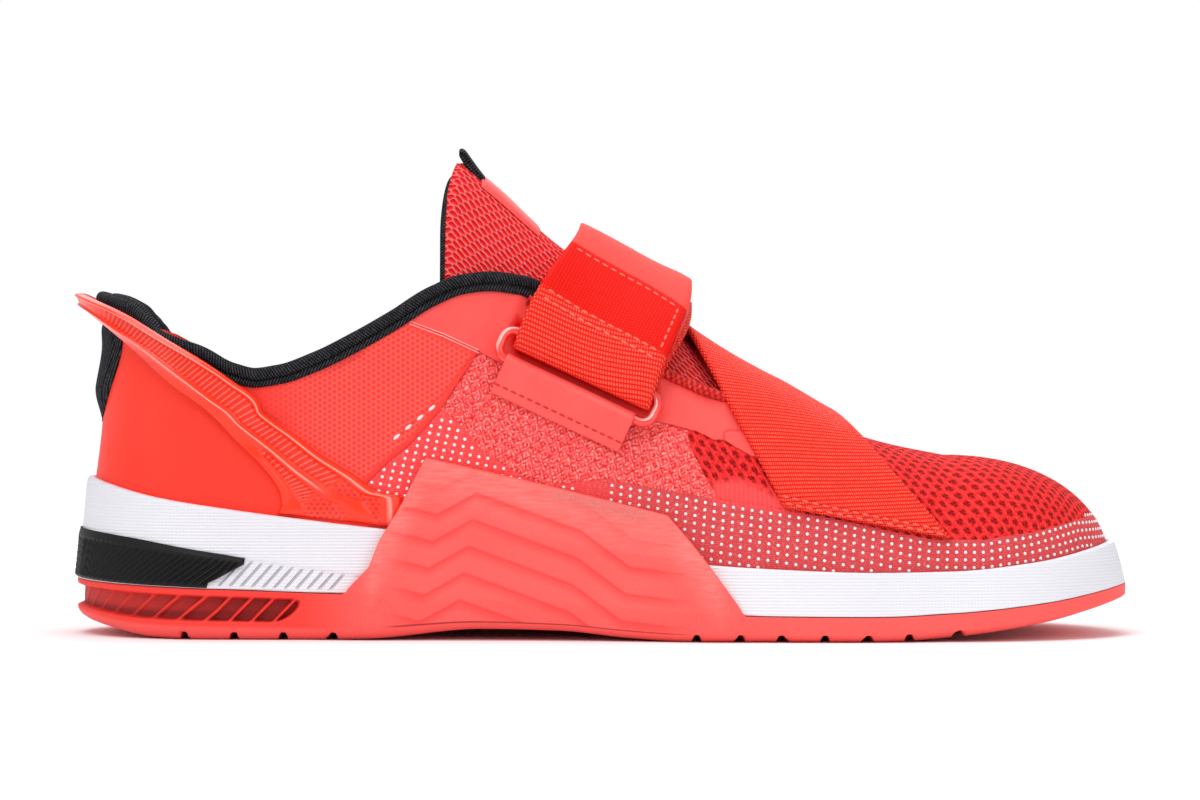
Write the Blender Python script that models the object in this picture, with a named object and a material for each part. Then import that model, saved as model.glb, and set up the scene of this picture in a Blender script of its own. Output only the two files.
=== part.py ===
"""Training shoe for the left foot: sole, upper, tongue, straps and trim as separate closed solids.

Metres, +Z up, toe to +X, inner (medial) side to -Y, floor at Z = 0. Sizes below are in millimetres.
Every piece is worked out from one last. Its section table gives half widths and ridge heights along the
foot, and skin() gives any point of that surface, grown outward or shrunk inward by an offset. A place on
the last is named by u, the distance round its edge from the back of the heel to the tip of the toe.
"""
import math
from bisect import bisect_right

import bmesh
import bpy
from mathutils import Vector

MM = 0.001
INNER, OUTER = -1, 1
QUARTER = math.pi / 2

# Driving dimensions
LENGTH = 300.0
HEEL_REACH = 3.4
OUTER_REACH = 2.0
GAP = 0.3
WALL = 2.0
HEEL_BACK = 1.5
HEEL_CENTRE = 38.0
TOE_CENTRE = 245.0
TOE_TIP = 292.5
HEEL_ARC = 52.0
TOE_ARC = 75.0
THROAT_END = 202.0
INSOLE = 4.5
TONGUE = 5.0
GUARD = 2.2
WEBBING = 2.2
STRAP_STACK = 7.4
STRAP_LIFT = (1.0, 5.4)
ROLL_RADIUS = 2.8
ROLL_END = 127.0
WIRE_RADIUS = 1.35

U_SIDE = HEEL_ARC
U_TOE = HEEL_ARC + TOE_CENTRE - HEEL_CENTRE
U_TIP = U_TOE + TOE_ARC


def table(columns, *rows):
    """Short table with named columns, kept as one tuple of values for each name."""
    return dict(zip(columns.split(), zip(*rows)))


# Half widths to the inner and outer side, middle line, ridge height and lean of the wall, by section
LAST = table(
    "x inner outer mid ridge lean",
    (38, 34.0, 34.0, 0.0, 178, 1.00),
    (60, 34.5, 35.5, 0.0, 168, 1.00),
    (90, 34.5, 38.5, 0.0, 149, 1.00),
    (110, 35.0, 41.0, 0.0, 134, 1.05),
    (137, 37.5, 45.0, 0.0, 110.5, 1.10),
    (155, 41.0, 47.5, -1.0, 99.0, 1.12),
    (172, 44.5, 50.0, -2.5, 84.8, 1.10),
    (195, 48.5, 52.0, -5.0, 70.4, 1.00),
    (215, 49.5, 52.5, -7.0, 58.8, 0.95),
    (230, 48.5, 51.5, -8.0, 54.2, 0.92),
    (245, 46.0, 49.0, -9.0, 51.2, 0.90),
)

# Heights of bed, top line, split and ground, and how far the foam stands out, by section
SOLE = table(
    "x bed rim split ground edge flare",
    (1.5, 24.0, 45.0, 16.0, 4.0, 2.4, 2.4),
    (20, 24.0, 40.4, 15.3, 0.5, 2.8, 3.4),
    (38, 24.0, 37.4, 14.6, 0.0, 3.0, 3.8),
    (60, 24.0, 34.4, 13.8, 0.0, 3.0, 4.0),
    (81, 23.4, 31.8, 13.0, 0.4, 2.4, 4.4),
    (113, 22.0, 28.4, 11.5, 3.2, 1.3, 4.6),
    (135, 20.5, 26.0, 10.3, 2.8, 1.2, 4.4),
    (155, 18.5, 23.8, 9.2, 0.9, 1.3, 4.0),
    (172, 16.5, 22.0, 8.3, 0.0, 1.7, 3.6),
    (195, 14.7, 20.6, 7.6, 0.0, 2.0, 3.2),
    (225, 14.0, 19.6, 7.4, 0.0, 2.0, 3.0),
    (245, 14.6, 19.8, 8.2, 1.2, 2.0, 2.8),
    (270, 16.6, 22.2, 10.8, 4.6, 2.0, 2.6),
    (295, 20.5, 27.5, 15.6, 11.0, 2.0, 2.4),
)

# Height of the upper's top edge: collar from the heel, then the throat down to its front end. The outer
# side drops lower, clear of the ankle bone
COLLAR = table(
    "x top drop",
    (1.5, 93.0, 0.0), (13, 90.0, 4.0), (20, 87.0, 8.0), (31, 80.5, 7.6), (42, 73.4, 5.0), (49, 71.2, 3.4),
    (56, 72.0, 2.8), (67, 75.8, 2.6), (78, 81.2, 2.4), (89, 87.4, 2.0), (100, 94.2, 1.6), (108, 97.4, 1.0),
    (115, 98.2, 0.5), (124, 97.0, 0.0), (132, 93.0, 0.0), (143, 87.0, 0.0), (155, 80.5, 0.0),
    (167, 74.5, 0.0), (178, 70.0, 0.0), (188, 67.6, 0.0), (197, 66.4, 0.0), (THROAT_END, 66.0, 0.0),
)

# How far the back of the heel leaves the plain dome: hollow over the tendon, flared at the collar
TENDON = table("z out", (42, 0.0), (55, -1.2), (70, -1.9), (81, -2.8), (90, -1.0), (98, 2.8), (110, 5.0))

# Height to which the outsole's guard wraps up the flank
WRAP = table(
    "x top",
    (74, 13.0), (81, 20.0), (84, 27.5), (90, 37.4), (97, 51.0), (113, 47.4), (130.5, 43.5), (150, 38.8),
    (165.7, 35.0), (171, 29.0), (176.7, 22.0), (187, 8.0),
)

# Heel brace and heel clip: upper and lower edge from the back of the heel (0) to the foot of the band (1)
BRACE = table(
    "t up_x up_z low_x low_z lift",
    (0.00, 1.5, 97.4, 1.5, 92.2, 5.4),
    (0.15, 17.0, 88.8, 12.5, 84.4, 5.0),
    (0.30, 33.0, 80.4, 27.0, 72.4, 4.1),
    (0.45, 46.0, 71.0, 40.0, 59.4, 3.0),
    (0.60, 58.0, 58.8, 50.0, 49.4, 1.2),
    (0.75, 73.0, 48.4, 55.6, 42.4, 0.5),
    (0.90, 82.5, 41.6, 55.2, 39.2, 0.4),
    (1.00, 84.0, 33.6, 54.4, 37.2, 0.4),
)
BRACE_THICK = 3.0
CLIP = table(
    "t up_x up_z low_x low_z lift",
    (0.00, 1.5, 30.4, 1.5, 18.4, 0.0),
    (0.35, 16.0, 28.6, 14.0, 17.6, 0.0),
    (0.70, 32.0, 25.6, 26.0, 16.8, 0.0),
    (1.00, 46.0, 23.2, 36.5, 16.2, 0.0),
)
CLIP_DEEP = 2.0

# Lower edge of the tongue inside the upper
TONGUE_LOW = table("x low", (103, 78.0), (130, 76.0), (167, 58.0), (190, 52.0), (214, 50.0))
TONGUE_TOP_X, TONGUE_REAR = 105.5, 3.4
TONGUE_FRONT_X = 214.0
PULL_SPREAD, PULL_THICK, PULL_RISE = 0.12, 2.0, Vector((-2.8, 0.0, 3.6))

# Straps: x of the rear and front edge, from the inner end (-1) over the ridge (0) to the outer end (1)
FOREFOOT = table("t rear front end_z", (-1, 197.0, 238.0, 36.0), (0, 174.0, 217.0, 0.0), (1, 170.0, 208.0, 46.0))
FOREFOOT_DROP = -9.0
INSTEP = table("t rear front end_z", (-1, 124.0, 160.0, 76.0), (0, 141.0, 173.0, 0.0), (1, 126.0, 162.0, 56.0))
INSTEP_DROP = -18.0
RING_SIZE = (48.0, 8.4)
RING_CENTRE = (142.4, 75.2)
RING_SLOPE = math.radians(-26.0)

# Side steps, ribs, gills and tread
STEP_PATH = table("x z", (92.0, 36.6), (100.0, 35.0), (110.5, 41.2), (143.0, 31.6), (158.0, 19.0))
STEPS, STEP_PITCH, STEP_WIDE, STEP_DEEP, STEP_FLOOR = 4, 7.6, 1.3, 1.0, 6.0
RIBS, RIB_FROM, RIB_TO = 10, 44.0, 75.0
GILLS, GILL_FROM, GILL_TO = 9, 10.0, 58.0
TREAD = table("x slant", (26, 6), (40, 6), (54, 6), (68, 6), (176, -7), (188, -7), (200, -7), (212, -7), (224, -7),
              (236, -7), (250, -7))
TREAD_WIDE, TREAD_DEEP = 2.4, 2.2

SIDE_X = (46, 54, 62, 68, 74, 81, 84, 90, 97, 105, 113, 122, 130.5, 140, 150, 158, 165.7, 171, 176.7, 187, 195,
          THROAT_END, 212, 222, 233)

FINISHES = table(
    "node colour rough",
    ("outsole", (0.86, 0.14, 0.12), 0.62), ("midsole", (0.90, 0.90, 0.93), 0.55),
    ("heel_clip", (0.015, 0.015, 0.017), 0.45), ("upper", (0.80, 0.05, 0.05), 0.70),
    ("insole", (0.03, 0.03, 0.03), 0.90), ("tongue", (0.78, 0.06, 0.06), 0.80),
    ("tongue_label", (0.86, 0.09, 0.08), 0.40), ("tongue_pull", (0.015, 0.015, 0.017), 0.80),
    ("collar_binding", (0.012, 0.012, 0.014), 0.85), ("heel_panel", (0.012, 0.012, 0.014), 0.85),
    ("heel_brace", (0.90, 0.07, 0.03), 0.18), ("forefoot_strap", (0.86, 0.05, 0.03), 0.60),
    ("instep_strap", (0.88, 0.05, 0.03), 0.60), ("ring", (0.88, 0.06, 0.06), 0.20),
    ("ring_keeper", (0.86, 0.09, 0.08), 0.40),
)


def slope(keys, values, i):
    """Slope of a smooth curve through table rows at row i, with no overshoot."""
    last = len(keys) - 1
    left = (values[i] - values[i - 1]) / (keys[i] - keys[i - 1]) if i else None
    right = (values[i + 1] - values[i]) / (keys[i + 1] - keys[i]) if i < last else None
    if left is None or right is None:
        return right if left is None else left
    return 0.0 if left * right <= 0 else 2 * left * right / (left + right)


def curve(rows, name, at, straight=False):
    """Value of a table's column at a place along its first column."""
    keys, values = next(iter(rows.values())), rows[name]
    at = min(max(at, keys[0]), keys[-1])
    i = min(bisect_right(keys, at), len(keys) - 1) - 1
    step = keys[i + 1] - keys[i]
    t = (at - keys[i]) / step
    if straight:
        return values[i] + (values[i + 1] - values[i]) * t
    start, end = slope(keys, values, i) * step, slope(keys, values, i + 1) * step
    rise = values[i + 1] - values[i]
    return values[i] + t * (start + t * (3 * rise - 2 * start - end + t * (start + end - 2 * rise)))


def mix(a, b, t):
    """Value or point part of the way from a to b."""
    return a + (b - a) * t


def ease(at, low, high):
    """Smooth step from 0 at low to 1 at high."""
    t = min(max((at - low) / (high - low), 0.0), 1.0)
    return t * t * (3 - 2 * t)


def place(x):
    """Perimeter place u whose edge point lies at x along the foot."""
    if x < HEEL_CENTRE:
        return HEEL_ARC * math.acos(min((HEEL_CENTRE - x) / (HEEL_CENTRE - HEEL_BACK), 1.0)) / QUARTER
    if x <= TOE_CENTRE:
        return U_SIDE + x - HEEL_CENTRE
    return U_TOE + TOE_ARC * math.asin(min((x - TOE_CENTRE) / (TOE_TIP - TOE_CENTRE), 1.0)) / QUARTER


def along(u):
    """Place along the foot, x, of the edge point at perimeter place u."""
    if u < U_SIDE:
        return HEEL_CENTRE - (HEEL_CENTRE - HEEL_BACK) * math.cos(QUARTER * u / HEEL_ARC)
    if u <= U_TOE:
        return HEEL_CENTRE + u - U_SIDE
    return TOE_CENTRE + (TOE_TIP - TOE_CENTRE) * math.sin(QUARTER * (u - U_TOE) / TOE_ARC)


def feather(u, side, grow):
    """Spine point and edge point of the last in plan, with the edge grown outward."""
    x = min(max(HEEL_CENTRE + u - U_SIDE, HEEL_CENTRE), TOE_CENTRE)
    mid = curve(LAST, "mid", x)
    half = side * (curve(LAST, "inner" if side == INNER else "outer", x) + grow) - mid
    spine = Vector((x, mid, 0.0))
    if u < U_SIDE:
        turn = QUARTER * u / HEEL_ARC
        reach = Vector((-(HEEL_CENTRE - HEEL_BACK + grow) * math.cos(turn), half * math.sin(turn), 0.0))
    elif u <= U_TOE:
        reach = Vector((0.0, half, 0.0))
    else:
        turn = QUARTER * (u - U_TOE) / TOE_ARC
        reach = Vector(((TOE_TIP - TOE_CENTRE + grow) * math.sin(turn), half * math.cos(turn), 0.0))
    return spine, reach


def heights(u, grow):
    """Bed and ridge height of the last at u, the ridge grown along its slope's normal."""
    x = min(max(along(u), HEEL_CENTRE), TOE_CENTRE)
    pitch = curve(LAST, "ridge", x + 1.0) - curve(LAST, "ridge", x - 1.0)
    return curve(SOLE, "bed", along(u)), curve(LAST, "ridge", x) + grow * math.hypot(1.0, pitch / 2.0)


def skin(u, side, angle, grow=0.0):
    """Point of the last's surface: angle 0 is the bed's edge and a quarter turn is the ridge."""
    spine, reach = feather(u, side, grow)
    bed, ridge = heights(u, grow)
    point = spine + reach * max(math.cos(angle), 0.0) ** curve(LAST, "lean", along(u))
    point.z = bed + (ridge - bed) * math.sin(angle)
    if u < U_SIDE:
        turn = QUARTER * u / HEEL_ARC
        point.x -= curve(TENDON, "out", point.z) * math.cos(turn) ** 2
    return point


def angle_at(u, z, grow=0.0):
    """Angle at which the last's surface reaches height z."""
    bed, ridge = heights(u, grow)
    return math.asin(min(max((z - bed) / (ridge - bed), 0.0), 1.0))


def at_height(u, side, z, grow=0.0):
    """Point of the last's surface at height z, straight down below the bed."""
    point = skin(u, side, angle_at(u, z, grow), grow)
    point.z = z
    return point


def over(x, t, low_z, grow):
    """Point across the foot at x: t runs from low_z on the inner side, over the ridge at 0, to the outer."""
    u, side = place(x), INNER if t < 0 else OUTER
    low = angle_at(u, low_z, grow)
    return skin(u, side, mix(QUARTER, low, abs(t)), grow)


def collar_top(u, side):
    """Height of the upper's top edge at u on one side."""
    return curve(COLLAR, "top", along(u)) - (curve(COLLAR, "drop", along(u)) if side == OUTER else 0.0)


def perimeter(side_x, heel_steps, toe_steps):
    """Places and sides round the foot: heel, inner flank, toe, outer flank, and back."""
    flank = [HEEL_ARC * i / heel_steps for i in range(1, heel_steps + 1)]
    flank += [place(x) for x in side_x]
    flank += [U_TOE + TOE_ARC * i / toe_steps for i in range(toe_steps)]
    return [(0.0, INNER)] + [(u, INNER) for u in flank] + [(U_TIP, INNER)] + [(u, OUTER) for u in flank[::-1]]


def foam_grow(u, z):
    """How far the foam's outer wall stands off the last at height z, fading out above the top line."""
    x = along(u)
    rim, split = curve(SOLE, "rim", x), curve(SOLE, "split", x)
    edge = GAP + curve(SOLE, "edge", x)
    if z > rim:
        return edge * (1.0 - ease(z, rim, rim + 7.0))
    return edge + curve(SOLE, "flare", x) * ((rim - max(z, split)) / (rim - split)) ** 1.3


def rubber_grow(u, z):
    """Outer face of the outsole: level with the foam, thicker where the guard wraps up the flank."""
    x = along(u)
    return foam_grow(u, z) + (2 * GAP + GUARD) * ease(x, 62.0, 84.0) * (1.0 - ease(x, 174.0, 195.0))


def loft(columns, around=True, closed=True, skip=None):
    """Mesh through sections of equal length; open lofts get end caps folded down the middle."""
    mesh = bmesh.new()
    rings = [[mesh.verts.new(point * MM) for point in column] for column in columns]
    count = len(rings[0])
    for i in range(len(rings) if around else len(rings) - 1):
        here, there = rings[i], rings[(i + 1) % len(rings)]
        for k in range(count if closed else count - 1):
            if skip is None or not skip(i, k):
                j = (k + 1) % count
                mesh.faces.new((here[k], here[j], there[j], there[k]))
    if not around:
        for ring in (rings[0], rings[-1]):
            for j in range(count // 2 - 1):
                mesh.faces.new((ring[j], ring[j + 1], ring[count - 2 - j], ring[count - 1 - j]))
    return mesh


def slab(outer, inner):
    """Closed plate between two grids of points with the same rows and columns."""
    return loft([top + under[::-1] for top, under in zip(outer, inner)], around=False)


def tube(points, across, up, sides, ring=False):
    """Round or oval tube along a path; across and up are its radii, up leans to the given vector."""
    columns = []
    count = len(points)
    for i, point in enumerate(points):
        before = points[i - 1] if ring or i else point
        after = points[(i + 1) % count] if ring or i < count - 1 else point
        tangent = (after - before).normalized()
        rise = (up[1] - tangent * up[1].dot(tangent)).normalized()
        level = tangent.cross(rise)
        turns = [2 * math.pi * (k + 0.5) / sides for k in range(sides)]
        columns.append([point + level * across * math.cos(a) + rise * up[0] * math.sin(a) for a in turns])
    return loft(columns, around=ring)


def finish(name):
    """Material of a node: colour and roughness from the table of finishes."""
    row = FINISHES["node"].index(name)
    material = bpy.data.materials.new(name + "_finish")
    material.use_nodes = True
    shader = material.node_tree.nodes["Principled BSDF"]
    shader.inputs["Base Color"].default_value = (*FINISHES["colour"][row], 1.0)
    shader.inputs["Roughness"].default_value = FINISHES["rough"][row]
    shader.inputs["Metallic"].default_value = 0.0
    return material


def add_object(name, mesh, root):
    """Closed, smooth-shaded object from a working mesh, under the shoe's root."""
    bmesh.ops.remove_doubles(mesh, verts=mesh.verts, dist=0.00001)
    bmesh.ops.dissolve_degenerate(mesh, edges=mesh.edges, dist=0.00001)
    bmesh.ops.recalc_face_normals(mesh, faces=mesh.faces)
    for face in mesh.faces:
        face.smooth = True
    data = bpy.data.meshes.new(name)
    mesh.to_mesh(data)
    mesh.free()
    piece = bpy.data.objects.new(name, data)
    piece.parent = root
    bpy.context.scene.collection.objects.link(piece)
    return piece


def add_node(name, mesh, root):
    """One sub-part of the shoe with its own finish."""
    piece = add_object(name, mesh, root)
    piece.data.materials.append(finish(name))
    return piece


def cut(piece, mesh, label, root):
    """Take a cutter's shape out of a piece."""
    cutter = add_object(label, mesh, root)
    cutter.hide_render = True
    cutter.display_type = "WIRE"
    modifier = piece.modifiers.new(label, "BOOLEAN")
    modifier.operation = "DIFFERENCE"
    modifier.solver = "EXACT"
    modifier.object = cutter


def join(meshes):
    """Several working meshes as one."""
    whole = bmesh.new()
    for mesh in meshes:
        data = bpy.data.meshes.new("shape")
        mesh.to_mesh(data)
        mesh.free()
        whole.from_mesh(data)
        bpy.data.meshes.remove(data)
    return whole


def flank_band(rows, steps, low_grow, high_grow, across, margin=0.0):
    """Band round the heel between two edges of a table, from the inner foot to the outer foot."""
    outer, inner = [], []
    for i in range(-steps, steps + 1):
        t, side = abs(i) / steps, INNER if i < 0 else OUTER
        reach = 2 * margin if abs(i) == steps else 0.0
        up = (curve(rows, "up_x", t) + reach, curve(rows, "up_z", t) + margin)
        low = (curve(rows, "low_x", t) + reach, curve(rows, "low_z", t) - margin)
        lift = curve(rows, "lift", t)
        if side == OUTER and lift:
            fall = curve(COLLAR, "drop", up[0]) * (1.0 - ease(t, 0.4, 0.75))
            up, low = (up[0], up[1] - fall), (low[0], low[1] - fall)
        spots = [(place(mix(low[0], up[0], k / across)), mix(low[1], up[1], k / across)) for k in range(across + 1)]
        outer.append([at_height(u, side, z, high_grow(u, z) + lift) for u, z in spots])
        inner.append([at_height(u, side, z, low_grow(u, z) + lift) for u, z in spots])
    return slab(outer, inner)


def flank_stroke(side, path, wide, deep, grow):
    """Cutter along a path of (x, z) points on the sole's side, of a given width and depth."""
    outer, inner = [], []
    for x, z in path:
        u = place(x)
        edges = (z - wide / 2, z + wide / 2)
        outer.append([at_height(u, side, e, grow(u, e) + 3.0) for e in edges])
        inner.append([at_height(u, side, e, grow(u, e) - deep) for e in edges])
    return slab(outer, inner)


def make_upper(root):
    """Hollow wall of the upper, open at collar and throat and underneath."""
    rows = 9
    stations = perimeter(SIDE_X, 5, 7)
    columns, shut = [], []
    for u, side in stations:
        x = along(u)
        shut.append(x >= THROAT_END)
        top = QUARTER if shut[-1] else angle_at(u, collar_top(u, side))
        angles = [top * k / (rows - 1) for k in range(rows)]
        outer = [skin(u, side, a) for a in angles]
        columns.append(outer + [skin(u, side, a, -WALL) for a in angles[::-1]])
    count = len(stations)
    add_node("upper", loft(columns, skip=lambda i, k: k == rows - 1 and shut[i] and shut[(i + 1) % count]), root)


def make_midsole(root):
    """Foam cup: flat split underneath, flared side, rim up the upper's wall, bed inside."""
    columns = []
    for u, side in perimeter(SIDE_X, 5, 7):
        x = along(u)
        rim, split, bed = (curve(SOLE, name, x) for name in ("rim", "split", "bed"))
        spine, _ = feather(u, side, 0.0)
        wall = [mix(split, rim - 0.7, k / 3) for k in range(4)]
        column = [Vector((spine.x, spine.y, curve(SOLE, "split", spine.x)))]
        column += [at_height(u, side, z, foam_grow(u, z)) for z in wall]
        column += [at_height(u, side, rim, foam_grow(u, rim) - 0.7 * curve(SOLE, "edge", x) / 3.0)]
        column += [at_height(u, side, mix(rim, bed - GAP, k / 3), GAP) for k in range(4)]
        column += [Vector((spine.x, spine.y, curve(SOLE, "bed", spine.x) - GAP))]
        columns.append(column)
    midsole = add_node("midsole", loft(columns, closed=False), root)
    pocket = flank_band(CLIP, 8, lambda u, z: foam_grow(u, z) - CLIP_DEEP - GAP, lambda u, z: foam_grow(u, z) + 3.0,
                        2, GAP)
    cut(midsole, pocket, "clip_pocket", root)
    ribs = []
    for side in (INNER, OUTER):
        for i in range(RIBS):
            x = mix(RIB_FROM, RIB_TO, i / (RIBS - 1))
            ribs.append(slanted_cut(side, x, 15.4, mix(23.2, 17.4, i / (RIBS - 1)), 0.9, 1.5, 0.8, foam_grow))
    cut(midsole, join(ribs), "rib_grooves", root)


def slanted_cut(side, x, low, high, lean, wide, deep, grow):
    """Cutter for one slanted groove on the sole's side between two heights."""
    outer, inner = [], []
    for z in (low, high):
        foot = x + lean * (z - low)
        pair = [place(foot - wide / 2), place(foot + wide / 2)]
        outer.append([at_height(u, side, z, grow(u, z) + 3.0) for u in pair])
        inner.append([at_height(u, side, z, grow(u, z) - deep) for u in pair])
    return slab(outer, inner)


def make_outsole(root):
    """Rubber sole: flat heel and forefoot, arch, toe spring, and a guard up each flank."""
    columns, rise = [], 4
    for u, side in perimeter(SIDE_X, 5, 7):
        x = along(u)
        split, ground = curve(SOLE, "split", x) - GAP, curve(SOLE, "ground", x)
        spine, _ = feather(u, side, 0.0)
        level = rubber_grow(u, split)
        column = [Vector((spine.x, spine.y, curve(SOLE, "ground", spine.x)))]
        column += [at_height(u, side, ground, level - 4.0), at_height(u, side, mix(ground, split, 0.35), level - 0.6)]
        top = curve(WRAP, "top", x, straight=True) if 74.0 < x < 187.0 else split
        if top > split:
            rows = [mix(split, top, k / rise) for k in range(rise + 1)]
            column += [at_height(u, side, z, rubber_grow(u, z)) for z in rows]
            column += [at_height(u, side, z, foam_grow(u, z) + 2 * GAP) for z in rows[::-1]]
        else:
            column += [at_height(u, side, split, level)] * (2 * rise + 2)
        column += [Vector((spine.x, spine.y, curve(SOLE, "split", spine.x) - GAP))]
        columns.append(column)
    outsole = add_node("outsole", loft(columns, closed=False), root)
    strokes = []
    for side in (INNER, OUTER):
        for i in range(STEPS):
            path = [(x, z - i * STEP_PITCH) for x, z in zip(STEP_PATH["x"], STEP_PATH["z"])]
            (x, z), (end_x, end_z) = path[-2:]
            run = min(1.0, (z - STEP_FLOOR) / (z - end_z))
            path[-1] = (mix(x, end_x, run), mix(z, end_z, run))
            strokes.append(flank_stroke(side, path, STEP_WIDE, STEP_DEEP, rubber_grow))
        for i in range(GILLS):
            x = mix(GILL_FROM, GILL_TO, i / (GILLS - 1))
            strokes.append(slanted_cut(side, x, 4.2, 10.6, 0.9, 3.6, 1.6, rubber_grow))
    cut(outsole, join(strokes), "side_steps", root)
    cut(outsole, join([tread_bar(x, s) for x, s in zip(TREAD["x"], TREAD["slant"])]), "tread_grooves", root)


def tread_bar(x, slant):
    """Cutter for one chevron groove across the tread, its middle set forward by the slant."""
    outer, inner = [], []
    for y, shift in ((-70.0, 0.0), (0.0, slant), (70.0, 0.0)):
        spots = (x + shift - TREAD_WIDE / 2, x + shift + TREAD_WIDE / 2)
        outer.append([Vector((s, y, curve(SOLE, "ground", s) + TREAD_DEEP)) for s in spots])
        inner.append([Vector((s, y, curve(SOLE, "ground", s) - 5.0)) for s in spots])
    return slab(outer, inner)


def make_insole(root):
    """Foam sheet on the bed, inside the upper's wall."""
    columns, inset = [], -WALL - GAP
    for u, side in perimeter(SIDE_X[::2], 4, 5):
        spine, _ = feather(u, side, 0.0)
        bed, middle = curve(SOLE, "bed", along(u)), curve(SOLE, "bed", spine.x)
        column = [Vector((spine.x, spine.y, middle)), at_height(u, side, bed, inset - 0.4)]
        column += [at_height(u, side, bed + INSOLE, inset - 0.4), Vector((spine.x, spine.y, middle + INSOLE - 0.8))]
        columns.append(column)
    add_node("insole", loft(columns, closed=False), root)


def tongue_point(x, t, thick):
    """Point of the tongue: clear of the upper's wall, swelling in the open throat, thick below its face."""
    swell = 2.3 * max(1.0 - (t / 0.62) ** 2, 0.0) * (1.0 - ease(x, 165.0, 190.0))
    room = WALL + 1.2 + 0.9 * ease(x, 172.0, 196.0)
    return over(x, t, curve(TONGUE_LOW, "low", x), swell - room - thick)


def make_tongue(root):
    """Padded tongue, arched round the ankle, with its bare label and pull loop."""
    spots = [(k - 6) / 6 for k in range(13)]
    outer, inner = [], []
    for i in range(11):
        xs = [mix(TONGUE_TOP_X - TONGUE_REAR * ease(abs(t), 0.0, 0.34), TONGUE_FRONT_X, i / 10) for t in spots]
        outer.append([tongue_point(x, t, 0.0) for x, t in zip(xs, spots)])
        inner.append([tongue_point(x, t, TONGUE) for x, t in zip(xs, spots)])
    add_node("tongue", slab(outer, inner), root)
    label = [[tongue_point(mix(116.0, 131.0, i / 3), (k - 2) / 2 * 0.30, -lift) for k in range(5)]
             for lift in (1.1, GAP) for i in range(4)]
    add_node("tongue_label", slab(label[:4], label[4:]), root)
    grids = []
    for lift in (GAP + PULL_THICK, GAP):
        rows = [[tongue_point(x, t, -lift) for t in (-PULL_SPREAD, 0.0, PULL_SPREAD)] for x in (115.0, 111.0, 107.5)]
        rows.append([point + PULL_RISE for point in rows[-1]])
        grids.append(rows)
    add_node("tongue_pull", slab(*grids), root)


def make_collar(root):
    """Padded roll along the collar from throat to throat round the heel, and the pad on the heel's back."""
    flank = [HEEL_ARC * i / 5 for i in range(1, 6)] + [place(x) for x in SIDE_X if x < ROLL_END] + [place(ROLL_END)]
    stations = [(u, INNER) for u in flank[::-1]] + [(0.0, INNER)] + [(u, OUTER) for u in flank]
    path = []
    for u, side in stations:
        tops = [collar_top(max(u + d, 0.0), side) for d in (-1.0, 0.0, 1.0)]
        rise = (ROLL_RADIUS + GAP) * math.hypot(1.0, (tops[2] - tops[0]) / 2)
        path.append(at_height(u, side, tops[1] + rise, 0.2))
    add_node("collar_binding", tube(path, ROLL_RADIUS, (ROLL_RADIUS, Vector((0, 0, 1))), 8), root)
    outer, inner = [], []
    for k in range(6):
        z = mix(62.0, 89.5, k / 5)
        half = mix(5.0, 17.0, ease(z, 60.0, 84.0))
        spots = [half * (i - 3) / 3 for i in range(7)]
        bulge = [mix(0.5, 3.4, (1.0 - (i - 3) ** 2 / 9)) for i in range(7)]
        sides = [(abs(s), INNER if s < 0 else OUTER) for s in spots]
        outer.append([at_height(u, side, z, 2 * GAP + 0.6 + b) for (u, side), b in zip(sides, bulge)])
        inner.append([at_height(u, side, z, 2 * GAP) for u, side in sides])
    add_node("heel_panel", slab(outer, inner), root)


def strap_grid(rows, drop, across, steps, low, high):
    """Two grids of a strap that crosses the foot: its ends tilt by drop from rear to front."""
    grids = ([], [])
    for i in range(-steps, steps + 1):
        t = i / steps
        end_z = rows["end_z"][0] if t < 0 else rows["end_z"][2]
        for grid, grow in zip(grids, (high, low)):
            line = []
            for k in range(across + 1):
                s = k / across
                x = mix(curve(rows, "rear", t), curve(rows, "front", t), s)
                line.append(over(x, t if i else 1e-9, end_z + drop * (s - 0.5), grow(s, t)))
            grid.append(line)
    return slab(*grids)


def ring_path(grow):
    """Middle line of the wire ring: a rounded rectangle lying on the inner flank."""
    half, depth = RING_SIZE[0] / 2, RING_SIZE[1] / 2
    corner = 3.2
    path = []
    for cx, cy, start in ((1, 1, 0), (-1, 1, 1), (-1, -1, 2), (1, -1, 3)):
        for k in range(4):
            a = QUARTER * (start + k / 3)
            spot = (cx * (half - corner) + corner * math.cos(a), cy * (depth - corner) + corner * math.sin(a))
            path.append(spot)
    turn = (math.cos(RING_SLOPE), math.sin(RING_SLOPE))
    points = []
    for a, b in path:
        x = RING_CENTRE[0] + a * turn[0] - b * turn[1]
        z = RING_CENTRE[1] + a * turn[1] + b * turn[0]
        points.append(at_height(place(x), INNER, z, grow))
    return points


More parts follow.
